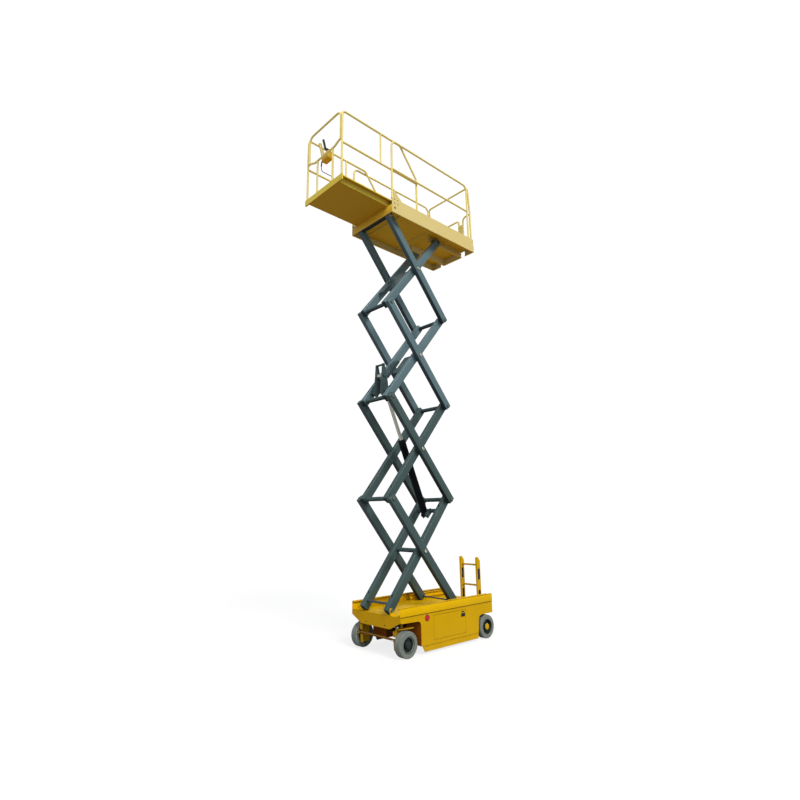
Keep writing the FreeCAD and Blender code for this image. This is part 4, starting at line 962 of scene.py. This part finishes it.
@dataclass
class Wheels:
    """Four solid wheels: rubber, bead grooves, rim edges, nuts and hub caps."""

    tyre_half: float = 0.0635
    rim_face: float = 0.0515
    bead: float = 0.1225
    sides: int = 48
    groove: Profile = ((0.009, -0.004), (0.008, -0.0005), (0.001, -0.001), (-0.004, -0.010), (-0.004, -0.016),
                       (0.009, -0.012))
    edge: Profile = ((0.1125, -0.004), (0.1125, 0.0035), (0.1085, 0.0045), (0.1055, -0.001), (0.1065, -0.006))

    def build(self, dresser: Dresser) -> None:
        """Dress the wheels and add their trim."""
        for end, hub in (("front", FRONT_HUB), ("rear", REAR_HUB)):
            for side in Side:
                self.wheel(dresser, f"{end}_{side.word}", side, hub)

    def wheel(self, dresser: Dresser, tag: str, side: Side, hub: Hub) -> None:
        """One wheel's finishes and trim."""
        dresser.node(f"tyre_{tag}", TYRE)
        dresser.node(f"rim_{tag}", RIM)
        groove = Bench.turned("groove", [(self.bead + radius, self.tyre_half + height)
                                         for radius, height in self.groove], self.sides, ring=True)
        edge = Bench.turned("edge", [(radius, self.rim_face + height) for radius, height in self.edge],
                            self.sides, ring=True)
        cap = Bench.turned("cap", [(radius, self.tyre_half + height) for radius, height in hub.cap], hub.cap_sides)
        angles = [math.tau * n / hub.nuts for n in range(hub.nuts)]
        spots = [place((hub.nut_circle * math.cos(a), hub.nut_circle * math.sin(a), hub.nut_depth),
                       turn=math.degrees(a)) for a in angles]
        nuts = Bench.copies("nuts", Bench.hex_bolt("nut", hub.nut_radius, hub.nut_height), spots)
        for part, finish in ((groove, GROOVE), (edge, hub.edge_finish), (cap, hub.cap_finish), (nuts, SHAFTS)):
            dresser.paint(part, finish)
        trim = Bench.joined(f"wheel_trim_{tag}", [groove, edge, cap, nuts])
        Bench.moved(trim, place(joint_at(f"roll_{tag}"), outward(side)))
        dresser.fit(trim, f"wheel_{tag}", RIM)


@dataclass
class Chassis:
    """Tray, side boxes and doors with their latches, button and inner parts."""

    skin_y: float = 0.568
    sheet: float = 0.005
    sheet_edge: float = 0.0012
    # Size of the dark strip that paints the shadow in the crease under the tray.
    seam_t: float = 0.0035
    seam_h: float = 0.007
    flange: float = 0.038
    lip_drop: float = 0.016
    front_gap: float = 0.012
    rail_t: float = 0.030
    rail_wall: float = 0.0035
    ladder_tail: float = 0.0187
    slot_half: float = 0.029
    slot_drops: tuple[tuple[float, float], ...] = ((0.731, 0.575), (0.392, 0.205))
    latch_inset: float = 0.0625
    latch_z: float = 0.458
    latch_proud: float = 0.004

    def build(self, dresser: Dresser) -> None:
        """Dress the chassis and add its small parts."""
        dresser.nodes(("side_boxes", "rear_plate", "door_left", "door_right", "guard_left", "guard_right", "ladder"),
                      CHASSIS)
        dresser.node("scissor_seats", TRAY)
        self.tray(dresser)
        self.ladder_slots(dresser)
        dresser.node("front_plate", FRONT)
        # The spine, axles and tie rod take the dark brown that stands for the shade under the body.
        dresser.nodes(("spine", "front_axle", "rear_axle", "tie_rod"), RUNNING_GEAR)
        dresser.nodes(("knuckle_left", "knuckle_right"), KNUCKLES)
        dresser.node("steer_barrel", BLACK)
        dresser.node("steer_rod", CHROME)
        dresser.node("battery_pack", BATTERY)
        dresser.node("power_unit", POWER)
        dresser.node("stop_button", BUTTON)
        for side in Side:
            self.latch(dresser, side)
        self.stop(dresser)

    def tray(self, dresser: Dresser) -> None:
        """The tray with square front ends: floor, walls, rolled flanges and a dark strip below them that paints the
        shadow in the crease.
        """
        low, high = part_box("tray")
        floor_top = low.z + self.sheet
        parts = [Bench.block("floor", low, (high.x - self.front_gap, high.y, floor_top), 0.0008)]
        for side in Side:
            outer = side.value * high.y
            inner = outer - side.value * self.sheet
            edge = outer - side.value * self.flange
            lip = edge + side.value * self.sheet
            rows = ((outer, inner, low.z, high.z), (outer, edge, high.z - self.sheet, high.z),
                    (lip, edge, high.z - self.lip_drop, high.z - 0.001))
            for first, second, bottom, top in rows:
                parts.append(Bench.block("strip", (low.x, min(first, second), bottom),
                                         (high.x, max(first, second), top), self.sheet_edge))
        for part in parts:
            dresser.paint(part, TRAY)
        # A dark strip under the tray's overhang along each side: painted shadow in the crease.
        for side in Side:
            crease_shadow_y = sorted((side.value * self.skin_y, side.value * (self.skin_y + self.seam_t)))
            seam = Bench.block("seam", (low.x + 0.01, crease_shadow_y[0], low.z - self.seam_h),
                               (high.x - 0.02, crease_shadow_y[1], low.z - 0.0005), 0.0008)
            parts.append(dresser.paint(seam, RUNNING_GEAR))
        dresser.fit(Bench.joined("tray_sheet", parts), "chassis", TRAY, "tray")

    def ladder_slots(self, dresser: Dresser) -> None:
        """Dark plates behind the hand slots of both ladder rails: painted shade inside the hollow rails."""
        low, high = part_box("ladder")
        middle = (low.x + high.x - self.ladder_tail) / 2
        parts = []
        for face in (high.y, low.y + self.rail_t):
            for bottom, top in self.slot_drops:
                back = face - self.rail_wall
                parts.append(Bench.block("lining", (middle - self.slot_half, back - 0.0015, high.z - bottom),
                                         (middle + self.slot_half, back, high.z - top), 0.0006))
        # The plates stand for the shade inside the hollow rails.
        dresser.fit(Bench.joined("ladder_linings", parts), "chassis", PLASTIC)

    def latch(self, dresser: Dresser, side: Side) -> None:
        """A door's paddle latch: dark recess, paddle and the small lock above it."""
        at_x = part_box(f"door_{side.word}")[0].x + self.latch_inset
        at_y = side.value * (self.skin_y + self.latch_proud)
        dish = Bench.block("dish", (-0.050, -0.026, 0), (0.050, 0.026, 0.0022), 0.0009)
        Bench.sunk(dish, Axis.POS_Z, 0.004, 0.0012)
        paddle = Bench.block("paddle", (-0.041, -0.017, 0.0008), (0.041, 0.019, 0.0028), 0.0008)
        lock = Bench.block("lock", (-0.034, 0.040, -0.0038), (0.034, 0.058, 0.0006), 0.0012)
        latch = Bench.joined(f"door_latch_{side.word}", [dish, paddle, lock])
        Bench.moved(latch, self.on_side(at_x, at_y, self.latch_z, side))
        dresser.fit(latch, f"door_{side.word}", PLASTIC)

    @staticmethod
    def on_side(x: float, y: float, z: float, side: Side) -> Matrix:
        """A matrix that stands a part drawn in X and Y, with +Z out, on a side of the machine."""
        out = Vector((0, side.value, 0))
        up = Vector((0, 0, 1))
        across = up.cross(out)
        return Matrix.Translation((x, y, z)) @ Matrix((across, up, out)).transposed().to_4x4()

    def stop(self, dresser: Dresser) -> None:
        """The emergency stop's dark ring round its red head."""
        low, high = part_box("stop_button")
        middle = (low + high) / 2
        ring = Bench.turned("stop_ring", [(0.049, 0.0), (0.048, 0.0028), (0.044, 0.0036), (0.0405, 0.0026),
                                          (0.0405, 0.0)], 40, ring=True)
        Bench.moved(ring, place((middle.x, self.skin_y + 0.0004, middle.z), Axis.POS_Y))
        dresser.fit(ring, "chassis", PLASTIC)


@dataclass
class Scissor:
    """The four stages of arms, their pins and the lift cylinder."""

    depth: float = 0.138
    width: float = 0.088
    inner_face: float = 0.328
    outer_face: float = 0.4255
    overhang: float = 0.042
    pin_end: float = 0.437
    pivot_pin_end: float = 0.358
    top_pin_end: float = 0.455
    boss_radius: float = 0.047
    port_at: float = 0.20
    collar_back: float = 0.024
    keeper_turn: float = 20.0

    def build(self, dresser: Dresser) -> None:
        """Dress the shafts and make the arms, the pin keepers and the cylinder."""
        crossings = {stage: joint_at(f"cross_{stage}") for stage in range(1, 5)}
        fronts = {1: joint_at("lift"), 5: joint_at("platform_level")}
        fronts.update({stage: joint_at(f"stage_{stage}") for stage in (2, 3, 4)})
        for stage, crossing in crossings.items():
            low_front, high_front = fronts[stage], fronts[stage + 1]
            # The two lower stages take the darker copy: painted shade.
            finish = LOW_ARMS if stage < 3 else HIGH_ARMS
            self.pair(dresser, "inner", stage, low_front, 2 * crossing - low_front, self.inner_face, finish)
            self.pair(dresser, "outer", stage, 2 * crossing - high_front, high_front, self.outer_face, finish)
            dresser.node(f"inner_shafts_{stage}", SHAFTS)
            self.stage_keepers(dresser, stage, crossing, low_front, 2 * crossing - low_front)
        self.keepers(dresser, "pin_keepers_top", "outer_4", [(fronts[5], self.top_pin_end)], DULL_ZINC)
        dresser.nodes(("outer_shaft_low", "outer_shaft_top"), SHAFTS)
        dresser.node("lift_rod", CHROME)
        self.barrel(dresser)

    def pair(self, dresser: Dresser, kind: str, stage: int, start: Vector, end: Vector, face: float,
             finish: Finish) -> None:
        """Both arms of one body, each a closed tube with rounded corners, pivot bosses and ports.

        Args:
            dresser: gives the finishes.
            kind: inner or outer.
            stage: the stage's number from the ground.
            start: the arm's lower joint.
            end: its upper joint.
            face: Y of the face that looks outward.
            finish: the arm's enamel, darker on the two lower stages as painted shade.
        """
        span = (end - start).length
        along = (end - start).normalized()
        made = []
        for side in Side:
            middle = side.value * (face - self.width / 2)
            half = self.depth / 2
            bar = Bench.block("bar", (-self.overhang, -self.width / 2, -half),
                              (span + self.overhang, self.width / 2, half), 0.009, 3)
            boss = Bench.turned("boss", [(self.boss_radius, 0), (self.boss_radius, 0.0008),
                                         (self.boss_radius - 0.002, 0.0015), (0.031, 0.0015), (0.028, 0.0004),
                                         (0.010, 0.0004)], 32)
            spots = [place((at, look * self.width / 2, 0), (0, look, 0)) for at in (0, span / 2, span)
                     for look in (1, -1)]
            bosses = Bench.copies("bosses", boss, spots)
            for part in (bar, bosses):
                dresser.paint(part, finish)
            port = Bench.turned("port", [(0.021, 0), (0.021, 0.0006), (0.016, 0.0009), (0.008, 0.0005)], 24)
            upper = 1 if along.x > 0 else -1
            ports = Bench.copies("ports", port, [place((at, 0, upper * half), (0, 0, upper))
                                                 for at in (self.port_at, span - self.port_at)])
            dresser.paint(ports, PLASTIC)
            whole = Bench.joined("arm", [bar, bosses, ports])
            turn = Matrix((along, Vector((0, 1, 0)), along.cross(Vector((0, 1, 0))))).transposed().to_4x4()
            made.append(Bench.moved(whole, Matrix.Translation((start.x, middle, start.z)) @ turn))
        arms = Bench.joined(f"{kind}_tubes_{stage}", made)
        dresser.fit(arms, f"{kind}_{stage}", finish, f"{kind}_arms_{stage}")

    def stage_keepers(self, dresser: Dresser, stage: int, crossing: Vector, front: Vector, rear: Vector) -> None:
        """The keepers of one inner body's pins, bright at the crossing and dull elsewhere."""
        self.keepers(dresser, f"crossing_keepers_{stage}", f"inner_{stage}", [(crossing, self.pin_end)], ZINC)
        places = [(front, self.pin_end if stage > 1 else self.pivot_pin_end)]
        if stage < 4:
            places.append((rear, self.pin_end))
        self.keepers(dresser, f"end_keepers_{stage}", f"inner_{stage}", places, DULL_ZINC)

    def keepers(self, dresser: Dresser, name: str, body: str, places: Sequence[tuple[Vector, float]],
                finish: Finish) -> None:
        """Retaining rings and bolts on both ends of some pins.

        Args:
            dresser: gives the finishes.
            name: the joined piece's name.
            body: the body that the pins belong to.
            places: each pin's place with the Y of its ends.
            finish: the plating.
        """
        ring = Bench.turned("ring", [(0.0285, 0.0), (0.029, 0.003), (0.0265, 0.0045), (0.0205, 0.0045), (0.0190, 0.003),
                                     (0.0190, 0.0)], 28, ring=True)
        bolt = Bench.hex_bolt("bolt", 0.0105, 0.007)
        keeper = Bench.joined("keeper", [ring, bolt])
        matrices = []
        for at, reach in places:
            for side in Side:
                matrices.append(place((at.x, side.value * reach, at.z), outward(side), self.keeper_turn))
        whole = Bench.copies(name, keeper, matrices)
        dresser.fit(whole, body, finish)

    def barrel(self, dresser: Dresser) -> None:
        """The cylinder's outer skin: a thick tube with its gland, welds and two hose ports."""
        dresser.node("lift_barrel", BLACK)
        foot = joint_at("cylinder_swing")
        travel = next(joint for joint in frame["joints"] if joint["name"] == "cylinder_travel")
        aim = Vector(travel["axis"]).normalized()
        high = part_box("lift_barrel")[1]
        reach = (high.z - foot.z) / aim.z - self.collar_back
        sleeve = Bench.turned("cylinder_sleeve", [(0.0535, 0.075), (0.062, 0.078), (0.0635, 0.090),
                                                  (0.0635, reach - 0.12), (0.0655, reach - 0.115), (0.0655, reach - 0.012),
                                                  (0.062, reach - 0.003), (0.060, reach - 0.003),
                                                  (0.060, reach - 0.10), (0.0535, reach - 0.11)], 40, ring=True)
        port = Bench.turned("port", [(0.017, 0), (0.017, 0.016), (0.012, 0.018), (0.012, 0.026), (0.006, 0.028)], 16)
        ports = Bench.copies("ports", port, [place((0, 0.060, at), Axis.POS_Y) for at in (0.16, reach - 0.06)])
        skin = Bench.joined("cylinder_sleeve", [sleeve, ports])
        Bench.moved(skin, place(foot, aim))
        dresser.fit(skin, "lift_barrel", BLACK)


@dataclass
class Platform:
    """Deck, rails, gate and extension."""

    valance_t: float = 0.004
    valance_h: float = 0.137
    lip_w: float = 0.03
    arm_gap: tuple[float, float] = (0.232, 0.336)
    bolt_holes: tuple[tuple[float, float], ...] = ((0.139, 0.149), (0.064, 0.149), (0.139, 0.231), (0.064, 0.231))

    def build(self, dresser: Dresser) -> None:
        """Dress the platform."""
        dresser.node("platform_deck", PLATFORM)
        dresser.node("ext_deck", DECKING)
        dresser.nodes(("main_side_rails", "rear_rail", "gate", "ext_side_rails", "ext_front_rail"), RAILS)
        self.valance(dresser)
        self.front_skin(dresser)
        self.grommets(dresser)

    def front_skin(self, dresser: Dresser) -> None:
        """The golden face on the main deck's front skirt."""
        low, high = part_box("platform_deck")
        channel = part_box("ext_deck")[0].z
        skin = Bench.block("front_skirt_skin", (high.x - 0.0002, low.y + 0.002, low.z + 0.001),
                           (high.x + 0.001, high.y - 0.002, channel - 0.004), 0.0004)
        dresser.fit(skin, "platform", GOLDEN)

    def grommets(self, dresser: Dresser) -> None:
        """Dark rims round the bracket holes at the front corners of the side plates."""
        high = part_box("platform_deck")[1]
        level = joint_at("platform_level").z
        spots = []
        for side in Side:
            face = side.value * high.y
            for back, up in self.bolt_holes:
                spots.append(place((high.x - back, face, level + up), outward(side)))
        rim = Bench.turned("rim", [(0.0115, 0), (0.0112, 0.0008), (0.0085, 0.0010), (0.0056, 0.0004),
                                   (0.0056, -0.002), (0.0075, -0.002)], 20, ring=True)
        rims = Bench.copies("hole_rims", rim, spots)
        dresser.fit(rims, "platform", PLASTIC)

    def valance(self, dresser: Dresser) -> None:
        """The folded plate under the deck's rear edge, open where the inner arms' ends pass when lowered."""
        low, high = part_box("platform_deck")
        rear = low.x - self.valance_t
        near, far = self.arm_gap
        parts = []
        for start, stop in ((low.y, -far), (-near, near), (far, high.y)):
            parts.append(Bench.block("plate", (rear, start, low.z), (low.x, stop, low.z + self.valance_h), 0.0008))
            parts.append(Bench.block("lip", (low.x, start + 0.004, low.z),
                                     (low.x + self.lip_w, stop - 0.004, low.z + self.valance_t), 0.0005))
        dresser.fit(Bench.joined("rear_valance", parts), "platform", PLATFORM)


@dataclass
class ControlStation:
    """The control box with its hook, knob, cable boot and bent grip; X is measured back from the box's front."""

    case_back: float = 0.165
    case_front: float = 0.004
    case_y: tuple[float, float] = (-0.175, 0.060)
    case_z: tuple[float, float] = (8.235, 8.385)
    lid_shrink: Point = (0.7, 0.85, 1)
    hook_r: float = 0.030
    hook: tuple[Point, ...] = ((0.05, -0.150, 8.37), (0.04, -0.165, 8.47), (0.02, -0.185, 8.57),
                               (0.008, -0.190, 8.625))
    knob: Profile = ((0.020, 0), (0.021, 0.014), (0.018, 0.022), (0.008, 0.024))
    knob_at: Point = (0.06, -0.170, 8.345)
    boot_r: float = 0.0125
    boot: tuple[tuple[float, float], ...] = ((-0.158, 8.262), (-0.172, 8.225), (-0.176, 8.172))
    seat: Profile = ((0.030, 0), (0.028, 0.012), (0.020, 0.022), (0.012, 0.026))
    seat_at: Point = (0.055, 0.020, 8.384)
    grip_r: float = 0.021
    grip: tuple[tuple[float, float], ...] = ((0.022, 8.390), (-0.030, 8.445), (-0.082, 8.480), (-0.105, 8.560),
                                             (-0.128, 8.640), (-0.150, 8.705))

    def build(self, dresser: Dresser) -> None:
        """Make the case with its fittings, then the grip."""
        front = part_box("control_box")[1].x
        parts = [(self.case(front), GOLDEN)]
        hook = Bench.pipe("hook", [(front - back, y, z) for back, y, z in self.hook], self.hook_r)
        parts.append((hook, PLATFORM))
        knob = Bench.turned("knob", self.knob, 24)
        back, y, z = self.knob_at
        parts.append((Bench.moved(knob, place((front - back, y, z), Axis.NEG_Y)), PLASTIC))
        boot = Bench.pipe("boot", [(ControlCable.x, y, z) for y, z in self.boot], self.boot_r)
        parts.append((boot, RUNNING_GEAR))
        case = Bench.joined("control_case", [dresser.paint(part, finish) for part, finish in parts])
        dresser.fit(case, "extension", GOLDEN, "control_box")
        seat = Bench.turned("seat", self.seat, 28)
        back, y, z = self.seat_at
        Bench.moved(seat, place((front - back, y, z), Axis.POS_Z))
        grip = Bench.pipe("grip", [(front - back, y, z) for y, z in self.grip], self.grip_r)
        dresser.fit(Bench.joined("control_grip", [grip, seat]), "extension", PLASTIC, "joystick")

    def case(self, front: float) -> Piece:
        """The case: a rounded block, drawn in at its lid."""
        box = Bench.block("case", (front - self.case_back, self.case_y[0], self.case_z[0]),
                          (front - self.case_front, self.case_y[1], self.case_z[1]), 0.012, 3)
        Bench.only(box)
        for vertex in box.data.vertices:
            vertex.select = False
        for polygon in box.data.polygons:
            polygon.select = polygon.normal.z > 0.99
        bpy.ops.object.mode_set(mode="EDIT")
        bpy.ops.mesh.select_mode(type="FACE")
        bpy.ops.transform.resize(value=self.lid_shrink)
        return Bench.close(box)


def main() -> None:
    """Build the studio and every sub-assembly in order."""
    logging.basicConfig(level=logging.INFO, format="%(name)s: %(message)s")
    dresser = Dresser()
    studio = Studio()
    studio.build()
    for assembly in (ControlCable(), Wheels(), Chassis(), Scissor(), Platform(), ControlStation()):
        assembly.build(dresser)
        LOG.info("%s done", type(assembly).__name__)


if __name__ == "__main__":
    main()
